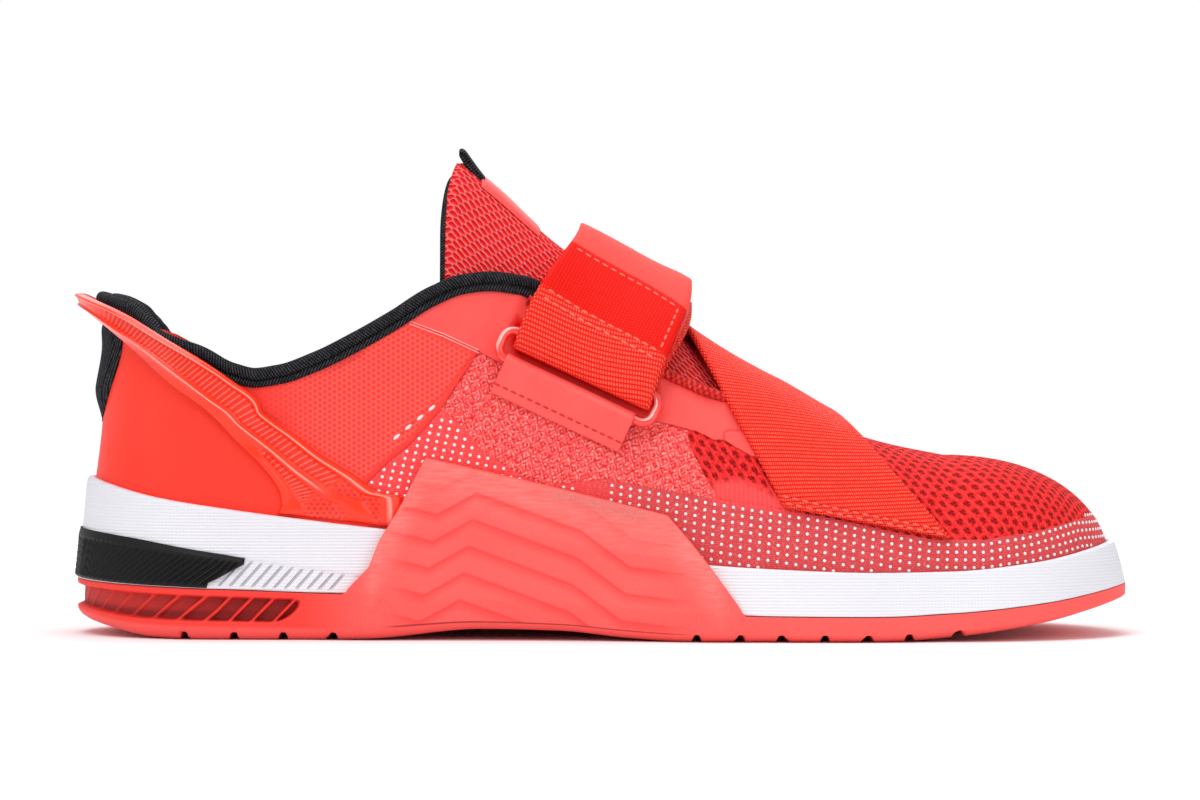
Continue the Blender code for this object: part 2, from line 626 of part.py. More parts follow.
def make_straps(root):
    """Forefoot strap, folded instep strap, its ring and the tab that keeps the ring."""
    front = strap_grid(FOREFOOT, FOREFOOT_DROP, 6, 9, lambda s, t: GAP + 0.25, lambda s, t: GAP + 0.25 + WEBBING)
    add_node("forefoot_strap", front, root)
    bar = 4.1
    ring_up = (WIRE_RADIUS, Vector((0, -1, 0)))
    add_node("ring", tube(ring_path(bar), WIRE_RADIUS, ring_up, 8, ring=True), root)
    bore = WIRE_RADIUS + GAP

    def lift(s, t):
        return GAP + mix(*STRAP_LIFT, s) * (1.0 - abs(t))

    def stack(s, t):
        return lift(s, t) + mix(STRAP_STACK, WEBBING, ease(t, 0.30, 0.36))

    strap = add_node("instep_strap", strap_grid(INSTEP, INSTEP_DROP, 5, 10, lift, stack), root)
    cut(strap, tube(ring_path(bar), bore, (bore, Vector((0, -1, 0))), 8, ring=True), "strap_bore", root)
    outer, inner = [], []
    for i in range(7):
        a = mix(-20.0, 20.0, i / 6)
        tops, lows = [], []
        for b, high in ((-2.0, 7.0), (-4.2, 7.2), (-6.4, 6.0), (-9.0, 2.6), (-14.0, 2.0)):
            x = RING_CENTRE[0] - 1.0 + a * math.cos(RING_SLOPE) - b * math.sin(RING_SLOPE)
            z = RING_CENTRE[1] + a * math.sin(RING_SLOPE) + b * math.cos(RING_SLOPE)
            tops.append(at_height(place(x), INNER, z, high))
            lows.append(at_height(place(x), INNER, z, GAP))
        outer.append(tops)
        inner.append(lows)
    keeper = add_node("ring_keeper", slab(outer, inner), root)
    cut(keeper, tube(ring_path(bar), bore, (bore, Vector((0, -1, 0))), 8, ring=True), "keeper_bore", root)


def main():
    """Clear the scene and build the shoe under one root."""
    for old in list(bpy.data.objects):
        bpy.data.objects.remove(old, do_unlink=True)
    root = bpy.data.objects.new("shoe_root", None)
    root.location = (-(LENGTH / 2 - HEEL_REACH) * MM, -OUTER_REACH * MM, 0.0)
    bpy.context.scene.collection.objects.link(root)
    make_outsole(root)
    make_midsole(root)
    clip = flank_band(CLIP, 8, lambda u, z: foam_grow(u, z) - CLIP_DEEP, lambda u, z: foam_grow(u, z) + 0.3, 2)
    add_node("heel_clip", clip, root)
    make_upper(root)
    make_insole(root)
    make_tongue(root)
    make_collar(root)
    brace = flank_band(BRACE, 16, lambda u, z: 0.0, lambda u, z: BRACE_THICK, 3)
    add_node("heel_brace", brace, root)
    make_straps(root)
    bpy.context.view_layer.update()


main()
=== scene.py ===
"""Looks of a left training shoe, draped over the same last as its solids.

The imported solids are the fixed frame. Each visible piece is a fine sheet, band or cord that is laid over
the last, and takes the place of its plain solid. Sizes are in millimetres from the back of the heel
(+X to the toe, inner side to -Y, floor at Z = 0) until a mesh is placed, in metres, in the shared frame.
"""

import logging
import math
from collections.abc import Callable, Sequence
from dataclasses import dataclass, field
from enum import Enum

import bpy
import numpy as np
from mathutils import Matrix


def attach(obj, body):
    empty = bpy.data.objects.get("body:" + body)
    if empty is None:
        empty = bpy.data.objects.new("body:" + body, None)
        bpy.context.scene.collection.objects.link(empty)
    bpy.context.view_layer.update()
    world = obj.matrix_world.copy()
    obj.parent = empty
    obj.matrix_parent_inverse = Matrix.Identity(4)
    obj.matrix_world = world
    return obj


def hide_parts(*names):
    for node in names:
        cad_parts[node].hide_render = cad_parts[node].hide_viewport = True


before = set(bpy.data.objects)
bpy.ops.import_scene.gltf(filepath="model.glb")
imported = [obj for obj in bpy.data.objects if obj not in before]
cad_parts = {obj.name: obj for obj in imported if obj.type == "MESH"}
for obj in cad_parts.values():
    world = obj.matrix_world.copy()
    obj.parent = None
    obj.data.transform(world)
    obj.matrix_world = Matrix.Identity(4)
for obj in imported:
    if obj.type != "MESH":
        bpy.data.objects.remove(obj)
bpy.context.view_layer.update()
LOG = logging.getLogger("shoe")

MM = 0.001
QUARTER = math.pi / 2
HEEL_POINT = np.array((146.6, 2.0, 0.0))
GAP = 0.3
WELD = 0.000004
Field = np.ndarray
Corners = Sequence[tuple[float, float]]
Socket = bpy.types.NodeSocket
Piece = bpy.types.Object


class Side(Enum):
    """Flank of the shoe: the inner one faces the camera."""

    INNER = -1
    OUTER = 1

    @property
    def label(self) -> str:
        """Name of the side in the names of pieces."""
        return self.name.lower()


def linear(code: str) -> tuple[float, float, float, float]:
    """Turn an sRGB hex colour into the linear values that a shader takes.

    Args:
        code: Six hex digits, with or without a leading hash.

    Returns:
        Linear red, green, blue and an alpha of one.
    """
    parts = [int(code.lstrip("#")[i : i + 2], 16) / 255 for i in (0, 2, 4)]
    red, green, blue = (p / 12.92 if p <= 0.04045 else ((p + 0.055) / 1.055) ** 2.4 for p in parts)
    return red, green, blue, 1.0


def mix(a: Field, b: Field, t: Field) -> Field:
    """Value or point part of the way from a to b."""
    return a + (b - a) * t


def ease(at: Field, low: float, high: float) -> Field:
    """Smooth step from 0 at low to 1 at high."""
    t = np.clip((np.asarray(at, float) - low) / (high - low), 0, 1)
    return t * t * (3 - 2 * t)


def bump(at: Field, centre: Field, wide: Field) -> Field:
    """Soft ridge of height 1 round a centre, gone about two widths away."""
    return np.exp(-(((at - centre) / wide) ** 2))


def run_of(path: Field) -> Field:
    """Distance along a path at each of its points."""
    return np.concatenate(((0.0,), np.cumsum(np.linalg.norm(np.diff(path, axis=0), axis=1))))


def read_path(at: Field, run: Field, path: Field) -> Field:
    """Points of a path at given distances along it."""
    return np.stack([np.interp(at, run, path[:, c]) for c in range(3)], 1)


def smooth(row: Field, rounds: int = 3) -> None:
    """Soften the corners of a row of points, in place, with its two ends held."""
    for _ in range(rounds):
        row[1:-1] = (row[:-2] + 2 * row[1:-1] + row[2:]) / 4


@dataclass(frozen=True)
class Sections:
    """Table of sections; a smooth curve without overshoot runs through each column.

    Attributes:
        names: Column names in one string; the first column is the place of each section.
        rows: One tuple of values for each section.
    """

    names: str
    rows: tuple[tuple[float, ...], ...]

    def at(self, name: str, place: Field, straight: bool = False) -> Field:
        """Read a column.

        Args:
            name: Name of the column.
            place: Where to read it; places past either end give the end's value.
            straight: True for straight lines between the sections.

        Returns:
            The column's values, one for each place.
        """
        keys = np.array([row[0] for row in self.rows])
        values = np.array([row[self.names.split().index(name)] for row in self.rows])
        place = np.clip(np.asarray(place, float), keys[0], keys[-1])
        if straight:
            return np.interp(place, keys, values)
        step = np.diff(keys)
        rise = np.diff(values) / step
        both = rise[:-1] * rise[1:]
        middle = np.where(both > 0, 2 * both / np.where(both > 0, rise[:-1] + rise[1:], 1.0), 0.0)
        slopes = np.concatenate((rise[:1], middle, rise[-1:]))
        i = np.clip(np.searchsorted(keys, place, side="right"), 1, len(keys) - 1) - 1
        t = (place - keys[i]) / step[i]
        start, end, climb = slopes[i] * step[i], slopes[i + 1] * step[i], rise[i] * step[i]
        return values[i] + t * (start + t * (3 * climb - 2 * start - end + t * (start + end - 2 * climb)))


@dataclass(frozen=True)
class Last:
    """Form of the foot that every piece follows.

    A place on it is named by u, the distance round its edge from the back of the heel to the tip of the
    toe, and by a side, -1 for the inner and 1 for the outer. All methods take and give whole arrays.

    Attributes:
        heel_back: Place of the back of the heel.
        heel_centre: Where the heel's curve ends.
        toe_centre: Where the toe's curve begins.
        toe_tip: Place of the tip of the toe.
        heel_arc: Length of u round half the heel.
        toe_arc: Length of u round half the toe.
        throat_end: Front end of the throat.
        guard: Thickness of the side guard.
        tuck: How far the upper's wall reaches up into the collar's roll.
        form: Half widths, middle line, height of the ridge and lean of the flanks.
        sole: Heights of bed, foam's rim, line between foam and rubber, and ground; foam's edge and flare.
        collar: Height of the upper's top edge, and how much lower it is on the outer side.
        dip: How much lower the collar's edge lies at the heel, on the inner and the outer side.
        tendon: How far the back of the heel stands out at a height.
        wrap: Top line of the side guard.
    """

    heel_back: float = 1.5
    heel_centre: float = 38.0
    toe_centre: float = 245.0
    toe_tip: float = 292.5
    heel_arc: float = 52.0
    toe_arc: float = 75.0
    throat_end: float = 202.0
    guard: float = 2.2
    tuck: float = 1.7
    form: Sections = Sections(
        "x inner outer mid ridge lean",
        (
            (38, 34, 34, 0, 178, 1), (60, 34.5, 35.5, 0, 168, 1), (90, 34.5, 38.5, 0, 149, 1),
            (110, 35, 41, 0, 134, 1.05), (137, 37.5, 45, 0, 110.5, 1.1),
            (155, 41, 47.5, -1, 99, 1.12), (172, 44.5, 50, -2.5, 84.8, 1.1),
            (195, 48.5, 52, -5, 70.4, 1), (215, 49.5, 52.5, -7, 58.8, 0.95),
            (230, 48.5, 51.5, -8, 54.2, 0.92), (245, 46, 49, -9, 51.2, 0.9),
        ),
    )
    sole: Sections = Sections(
        "x bed rim split ground edge flare",
        (
            (1.5, 24, 45, 16, 4, 2.4, 2.4), (20, 24, 40.4, 15.3, 0.5, 2.8, 3.4),
            (38, 24, 37.4, 14.6, 0, 3, 3.8), (60, 24, 34.4, 13.8, 0, 3, 4),
            (81, 23.4, 31.8, 13, 0.4, 2.4, 4.4), (113, 22, 28.4, 11.5, 3.2, 1.3, 4.6),
            (135, 20.5, 26, 10.3, 2.8, 1.2, 4.4), (155, 18.5, 23.8, 9.2, 0.9, 1.3, 4),
            (172, 16.5, 22, 8.3, 0, 1.7, 3.6), (195, 14.7, 20.6, 7.6, 0, 2, 3.2),
            (225, 14, 19.6, 7.4, 0, 2, 3), (245, 14.6, 19.8, 8.2, 1.2, 2, 2.8),
            (270, 16.6, 22.2, 10.8, 4.6, 2, 2.6), (295, 20.5, 27.5, 15.6, 11, 2, 2.4),
        ),
    )
    collar: Sections = Sections(
        "x top drop",
        (
            (1.5, 92, 0), (13, 90, 4), (20, 87, 8), (31, 80.5, 7.6), (42, 73.4, 5), (49, 71.2, 3.4),
            (56, 72, 2.8), (67, 75.8, 2.6), (78, 81.2, 2.4), (89, 87.4, 2), (100, 94.2, 1.6), (108, 97.4, 1),
            (115, 98.2, 0.5), (124, 97, 0), (132, 93, 0), (143, 87, 0), (155, 80.5, 0),
            (167, 74.5, 0), (178, 70, 0), (188, 67.6, 0), (197, 66.4, 0), (202, 66, 0),
        ),
    )
    dip: Sections = Sections(
        "x inner outer",
        (
            (1.5, 0, 0), (8, 1, 0.3), (13, 4.2, 1.5), (17, 6.2, 2.3), (20, 6, 1.2), (25, 4.8, 0.3),
            (31, 3, 0), (42, 1, 0), (49, 0.2, 0), (56, 0, 0), (202, 0, 0),
        ),
    )
    tendon: Sections = Sections(
        "z out", ((42, 0), (55, -1.2), (70, -1.9), (81, -2.8), (90, -1), (98, 2.8), (110, 5))
    )
    wrap: Sections = Sections(
        "x top",
        (
            (74, 13), (81, 20), (84, 27.5), (90, 37.4), (97, 51), (113, 47.4), (130.5, 43.5), (150, 38.8),
            (165.7, 35), (171, 29), (176.7, 22), (187, 8),
        ),
    )

    @property
    def u_toe(self) -> float:
        """Edge place where the toe's curve begins."""
        return self.heel_arc + self.toe_centre - self.heel_centre

    @property
    def u_tip(self) -> float:
        """Edge place of the tip of the toe."""
        return self.u_toe + self.toe_arc

    def place(self, x: Field) -> Field:
        """Edge place u of a point that lies at x along the foot.

        Args:
            x: Places along the foot.

        Returns:
            The edge places.
        """
        x = np.asarray(x, float)
        heel = (np.arccos(np.clip((self.heel_centre - x) / (self.heel_centre - self.heel_back), -1, 1))
                / QUARTER)
        toe = np.arcsin(np.clip((x - self.toe_centre) / (self.toe_tip - self.toe_centre), -1, 1)) / QUARTER
        u = np.where(x < self.heel_centre, self.heel_arc * heel, self.heel_arc + x - self.heel_centre)
        return np.where(x > self.toe_centre, self.u_toe + self.toe_arc * toe, u)

    def along(self, u: Field) -> Field:
        """Place along the foot, x, of the edge point at u.

        Args:
            u: Edge places.

        Returns:
            The places along the foot.
        """
        u = np.asarray(u, float)
        heel = self.heel_centre - (self.heel_centre - self.heel_back) * np.cos(QUARTER * u / self.heel_arc)
        toe = (self.toe_centre + (self.toe_tip - self.toe_centre)
               * np.sin(QUARTER * (u - self.u_toe) / self.toe_arc))
        x = np.where(u < self.heel_arc, heel, self.heel_centre + u - self.heel_arc)
        return np.where(u > self.u_toe, toe, x)

    def feather(self, u: Field, side: Field, grow: Field) -> tuple[Field, Field]:
        """Spine and reach in plan.

        Args:
            u: Edge places.
            side: -1 for the inner side, 1 for the outer.
            grow: How far the edge stands off the last.

        Returns:
            Points on the spine, and the steps from there to the edge, both with a last axis of three.
        """
        u, side, grow = np.broadcast_arrays(np.asarray(u, float), side, np.asarray(grow, float))
        x = np.clip(self.heel_centre + u - self.heel_arc, self.heel_centre, self.toe_centre)
        mid = self.form.at("mid", x)
        wide = np.where(side < 0, self.form.at("inner", x), self.form.at("outer", x))
        half = side * (wide + grow) - mid
        heel, toe = QUARTER * u / self.heel_arc, QUARTER * (u - self.u_toe) / self.toe_arc
        back, front = u < self.heel_arc, u > self.u_toe
        reach_x = np.where(back, -(self.heel_centre - self.heel_back + grow) * np.cos(heel), 0.0)
        reach_x = np.where(front, (self.toe_tip - self.toe_centre + grow) * np.sin(toe), reach_x)
        reach_y = half * np.where(back, np.sin(heel), np.where(front, np.cos(toe), 1.0))
        zero = np.zeros_like(x)
        return np.stack((x, mid, zero), -1), np.stack((reach_x, reach_y, zero), -1)

    def heights(self, u: Field, grow: Field) -> tuple[Field, Field]:
        """Heights of the bed and of the ridge at u, the ridge grown along its slope's normal.

        Args:
            u: Edge places.
            grow: How far the points stand off the last.

        Returns:
            Heights of the bed and of the ridge.
        """
        x = np.clip(self.along(u), self.heel_centre, self.toe_centre)
        pitch = self.form.at("ridge", x + 1.0) - self.form.at("ridge", x - 1.0)
        return self.sole.at("bed", self.along(u)), self.form.at("ridge", x) + grow * np.hypot(1.0, pitch / 2)

    def skin(self, u: Field, side: Field, angle: Field, grow: Field = 0.0) -> Field:
        """Points of the last: angle 0 is the bed's edge and a quarter turn is the ridge.

        Args:
            u: Edge places.
            side: -1 for the inner side, 1 for the outer.
            angle: Angles up the flank.
            grow: How far the points stand off the last.

        Returns:
            The points, with a last axis of three.
        """
        u, side, angle, grow = np.broadcast_arrays(np.asarray(u, float), side, angle, np.asarray(grow, float))
        spine, reach = self.feather(u, side, grow)
        bed, ridge = self.heights(u, grow)
        point = (spine
                 + reach * (np.clip(np.cos(angle), 0, 1) ** self.form.at("lean", self.along(u)))[..., None])
        point[..., 2] = bed + (ridge - bed) * np.sin(angle)
        turn = np.where(u < self.heel_arc, np.cos(QUARTER * u / self.heel_arc) ** 2, 0.0)
        point[..., 0] -= self.tendon.at("out", point[..., 2]) * turn
        return point

    def angle_at(self, u: Field, z: Field, grow: Field = 0.0) -> Field:
        """Angle at which the last reaches height z."""
        bed, ridge = self.heights(u, grow)
        return np.arcsin(np.clip((z - bed) / (ridge - bed), 0, 1))

    def at_height(self, u: Field, side: Field, z: Field, grow: Field = 0.0) -> Field:
        """Points of the last at height z, straight down below the bed.

        Args:
            u: Edge places.
            side: -1 for the inner side, 1 for the outer.
            z: Heights.
            grow: How far the points stand off the last.

        Returns:
            The points, with a last axis of three.
        """
        u, side, z, grow = np.broadcast_arrays(np.asarray(u, float), side, np.asarray(z, float), grow)
        point = self.skin(u, side, self.angle_at(u, z, grow), grow)
        point[..., 2] = z
        return point

    def on_flank(self, x: Field, z: Field, side: Field, grow: Field = 0.0) -> Field:
        """Points of the last at x along the foot and height z."""
        return self.at_height(self.place(x), side, z, grow)

    def over(self, x: Field, t: Field, low: Field, grow: Field) -> Field:
        """Points across the foot: t runs from the inner side, over the ridge at 0, to the outer side.

        Args:
            x: Places along the foot.
            t: Places across, from -1 to 1.
            low: Height of both ends.
            grow: How far the points stand off the last.

        Returns:
            The points, with a last axis of three.
        """
        u, t = np.broadcast_arrays(self.place(x), np.asarray(t, float))
        return self.skin(u, np.where(t < 0, -1, 1), mix(QUARTER, self.angle_at(u, low, grow), np.abs(t)),
                         grow)

    def collar_top(self, u: Field, side: Field) -> Field:
        """Height of the upper's top edge.

        Args:
            u: Edge places.
            side: -1 for the inner side, 1 for the outer.

        Returns:
            The heights.
        """
        x = self.along(u)
        outer = self.collar.at("drop", x) + self.dip.at("outer", x)
        return self.collar.at("top", x) - np.where(np.asarray(side) > 0, outer, self.dip.at("inner", x))

    def wall_top(self, u: Field, side: Field) -> Field:
        """Height of the upper's wall, whose edge is tucked into the collar's roll."""
        return self.collar_top(u, side) + self.tuck * (1 - ease(self.along(u), 118, 132))

    def foam_grow(self, u: Field, z: Field) -> Field:
        """How far the foam's outer wall stands off the last, fading out above its top line.

        Args:
            u: Edge places.
            z: Heights.

        Returns:
            The distances.
        """
        x = self.along(u)
        rim, split = self.sole.at("rim", x), self.sole.at("split", x)
        edge = GAP + self.sole.at("edge", x)
        fall = np.clip((rim - np.maximum(z, split)) / (rim - split), 0, 1) ** 1.3
        fade = np.clip((z - rim) / 7.0, 0, 1)
        above = edge * (1 - fade * fade * (3 - 2 * fade))
        return np.where(z > rim, above, edge + self.sole.at("flare", x) * fall)

    def rubber_grow(self, u: Field, z: Field) -> Field:
        """Outer face of the rubber: level with the foam, thicker where the guard wraps up the flank.

        Args:
            u: Edge places.
            z: Heights.

        Returns:
            Its distances from the last.
        """
        x = self.along(u)
        return (self.foam_grow(u, z) + (2 * GAP + self.guard) * ease(x, 62, 84)
                * (1 - ease(x, 174, 195)))


LAST = Last()


class Mould:
    """Makes a shoe's pieces with Blender's own tools: a grid is added, laid over the last and finished."""

    @staticmethod
    def edit(tool: Callable[..., object], **settings: object) -> None:
        """Use a tool on the whole active piece in edit mode.

        Args:
            tool: One of Blender's mesh tools.
            settings: What the tool is told.
        """
        bpy.ops.object.mode_set(mode="EDIT")
        bpy.ops.mesh.select_all(action="SELECT")
        tool(**settings)
        bpy.ops.object.mode_set(mode="OBJECT")

    @staticmethod
    def grid(name: str, points: Field, charts: dict[str, Field] | None = None,
             notes: dict[str, Field] | None = None, inside: Sequence[float] | None = None,
             weld: bool = False) -> Piece:
        """Lay a grid over given points.

        Args:
            name: Name of the new piece.
            points: Rows and columns of points in millimetres.
            charts: UV maps by name, in millimetres, with the same rows and columns.
            notes: Numbers to keep at each point, by name, for the piece's material.
            inside: A point behind the surface, so that its faces turn outward.
            weld: True where the grid closes on itself and its ends have to be joined.

        Returns:
            The new piece, at the origin.
        """
        rows, columns = points.shape[:2]
        bpy.ops.object.select_all(action="DESELECT")
        bpy.ops.mesh.primitive_grid_add(x_subdivisions=columns - 1, y_subdivisions=rows - 1, size=1.0)
        piece = bpy.context.object
        piece.name = piece.data.name = name
        mesh = piece.data
        mesh.vertices.foreach_set("co", ((points.reshape(-1, 3) - HEEL_POINT) * MM).ravel())
        corner = np.empty(len(mesh.loops), dtype=np.int32)
        mesh.loops.foreach_get("vertex_index", corner)
        while mesh.uv_layers:
            mesh.uv_layers.remove(mesh.uv_layers[0])
        for label, chart in (charts or {}).items():
            layer = mesh.uv_layers.new(name=label)
            layer.uv.foreach_set("vector", chart.reshape(-1, 2)[corner].astype(np.float32).ravel())
        for label, values in (notes or {}).items():
            kept = mesh.attributes.new(label, "FLOAT", "POINT")
            kept.data.foreach_set("value", values.astype(np.float32).ravel())
        mesh.update()
        if inside is not None:
            Mould.face_away(piece, inside)
        if weld:
            Mould.edit(bpy.ops.mesh.remove_doubles, threshold=WELD)
        bpy.ops.object.shade_smooth()
        return piece

    @staticmethod
    def face_away(piece: Piece, inside: Sequence[float]) -> None:
        """Turn a sheet's faces away from a point behind it, given in millimetres.

        Args:
            piece: The sheet.
            inside: The point.
        """
        mesh = piece.data
        count = len(mesh.polygons)
        normals, centres, areas = np.empty(count * 3), np.empty(count * 3), np.empty(count)
        mesh.polygons.foreach_get("normal", normals)
        mesh.polygons.foreach_get("center", centres)
        mesh.polygons.foreach_get("area", areas)
        away = centres.reshape(-1, 3) - (np.array(inside) - HEEL_POINT) * MM
        if float((np.einsum("ij,ij->i", normals.reshape(-1, 3), away) * areas).sum()) < 0:
            Mould.edit(bpy.ops.mesh.flip_normals)

    @staticmethod
    def thicken(piece: Piece, thick: float, lining: int = 0, under: Field | None = None,
                rim: int = 0) -> None:
        """Give a sheet its thickness, inward.

        Args:
            piece: The sheet.
            thick: Thickness in millimetres.
            lining: How many material slots further the back of the sheet is.
            under: Points of the back, in millimetres, where it isn't parallel to the front.
            rim: How many material slots further the cut edge is.
        """
        bpy.context.view_layer.objects.active = piece
        front = len(piece.data.vertices)
        wall = piece.modifiers.new("wall", "SOLIDIFY")
        wall.thickness = thick * MM
        wall.offset = -1.0
        wall.use_even_offset = False
        wall.material_offset = lining
        wall.material_offset_rim = rim
        bpy.ops.object.modifier_apply(modifier=wall.name)
        if under is not None:
            place = np.empty(len(piece.data.vertices) * 3)
            piece.data.vertices.foreach_get("co", place)
            place = place.reshape(-1, 3)
            place[front:] = (under.reshape(-1, 3) - HEEL_POINT) * MM
            piece.data.vertices.foreach_set("co", place.ravel())
            piece.data.update()

    @staticmethod
    def slab(name: str, top: Field, under: Field, charts: dict[str, Field] | None = None,
             notes: dict[str, Field] | None = None, inside: Sequence[float] | None = None) -> Piece:
        """Closed plate between two grids of points, the outer one first.

        Args:
            name: Name of the new piece.
            top: Points of its face.
            under: Points of its back.
            charts: UV maps by name.
            notes: Numbers to keep at each point, by name.
            inside: A point behind the plate.

        Returns:
            The plate.
        """
        piece = Mould.grid(name, top, charts, notes, inside)
        Mould.thicken(piece, 1.0, under=under)
        return piece

    @staticmethod
    def cord(name: str, path: Field, radius: Field, sides: int, closed: bool = False, up: Field | None = None,
             flat: float = 1.0) -> Piece:
        """Round or oval cord along a path.

        Args:
            name: Name of the new piece.
            path: Points of its middle line, in millimetres.
            radius: One radius, or one for each point and each side, in millimetres.
            sides: Number of sides.
            closed: True for a ring.
            up: Direction that the cord's top keeps to.
            flat: Height of the section against its width.

        Returns:
            The cord, with a UV map "thread" of length and girth in millimetres.
        """
        if closed:
            path = np.concatenate((path, path[:1]))
            tangent = np.roll(path[:-1], -1, 0) - np.roll(path[:-1], 1, 0)
            tangent = np.concatenate((tangent, tangent[:1]))
        else:
            tangent = np.gradient(path, axis=0)
        tangent /= np.linalg.norm(tangent, axis=1)[:, None]
        rise = np.broadcast_to(np.array((0.0, 0.0, 1.0)) if up is None else up, path.shape)
        rise = rise - tangent * np.einsum("ij,ij->i", rise, tangent)[:, None]
        rise /= np.linalg.norm(rise, axis=1)[:, None]
        level = np.cross(tangent, rise)
        turn = np.linspace(0, 2 * math.pi, sides + 1)
        radius = np.broadcast_to(np.asarray(radius, float), (len(path), sides + 1))[..., None]
        ring = (level[:, None] * np.cos(turn)[None, :, None] + flat * rise[:, None]
                * np.sin(turn)[None, :, None])
        points = path[:, None] + radius * ring
        length = run_of(path)
        girth = turn * float(radius.mean())
        thread = np.stack(np.broadcast_arrays(length[:, None], girth[None]), -1)
        if not closed:
            points = np.concatenate((path[:1, None] + 0 * points[:1], points, path[-1:, None]
                                     + 0 * points[-1:]))
            thread = np.concatenate((thread[:1], thread, thread[-1:]))
        piece = Mould.grid(name, points, {"thread": thread}, weld=True)
        Mould.close(piece)
        return piece

    @staticmethod
    def close(piece: Piece) -> None:
        """Turn all faces of a closed piece outward."""
        bpy.context.view_layer.objects.active = piece
        Mould.edit(bpy.ops.mesh.normals_make_consistent, inside=False)

    @staticmethod
    def repeat(name: str, seed: Piece, places: Field, along: Field, out: Field,
               size: Sequence[float]) -> Piece:
        """Copy one small shape to many places as a single joined mesh.

        Args:
            name: Name of the joined piece.
            seed: The shape, about one unit long in X and centred; it is removed.
            places: Middle of each copy, in millimetres.
            along: Direction of each copy's X axis.
            out: Direction of each copy's Z axis, before it is squared up.
            size: Scale of the shape in its X, Y and Z, in millimetres.

        Returns:
            The joined piece, at the origin.
        """
        count = len(seed.data.vertices)
        shape = np.empty(count * 3)
        seed.data.vertices.foreach_get("co", shape)
        shape = shape.reshape(-1, 3) * np.array(size)
        faces = sorted(tuple(face.vertices) for face in seed.data.polygons)
        bpy.data.objects.remove(seed, do_unlink=True)
        first = along / np.linalg.norm(along, axis=1)[:, None]
        third = out - first * np.einsum("ij,ij->i", out, first)[:, None]
        third /= np.linalg.norm(third, axis=1)[:, None]
        axes = np.stack((first, np.cross(third, first), third), 1)
        points = (places[:, None] + np.einsum("vk,nkc->nvc", shape, axes)).reshape(-1, 3)
        mesh = bpy.data.meshes.new(name)
        whole = [tuple(v + i * count for v in face) for i in range(len(places)) for face in faces]
        mesh.from_pydata(((points - HEEL_POINT) * MM).tolist(), [], whole)
        piece = bpy.data.objects.new(name, mesh)
        bpy.context.scene.collection.objects.link(piece)
        for face in mesh.polygons:
            face.use_smooth = True
        return piece

    @staticmethod
    def stitch_seed() -> Piece:
        """One stitch: a small rounded bar, one unit long.

        Returns:
            The stitch, to be repeated.
        """
        bpy.ops.object.select_all(action="DESELECT")
        bpy.ops.mesh.primitive_uv_sphere_add(segments=8, ring_count=6, radius=0.5)
        return bpy.context.object

    @staticmethod
    def dot_seed(sides: int = 10) -> Piece:
        """One printed dot: a low domed disc, one unit across.

        Args:
            sides: Number of sides.

        Returns:
            The dot, to be repeated.
        """
        bpy.ops.object.select_all(action="DESELECT")
        bpy.ops.mesh.primitive_cone_add(vertices=sides, radius1=0.5, radius2=0.34, depth=1.0)
        return bpy.context.object


class Shoe:
    """Keeps the frame's bookkeeping of finished pieces."""

    @staticmethod
    def keep(piece: Piece, slot: str, *nodes: str) -> Piece:
        """Let a piece ride on the shoe.

        Args:
            piece: The finished piece.
            slot: Not used.
            nodes: Solids that it stands for.

        Returns:
            The same piece.
        """
        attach(piece, "root")
        if nodes:
            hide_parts(*nodes)
        LOG.info("%s: %d faces", piece.name, len(piece.data.polygons))
        return piece


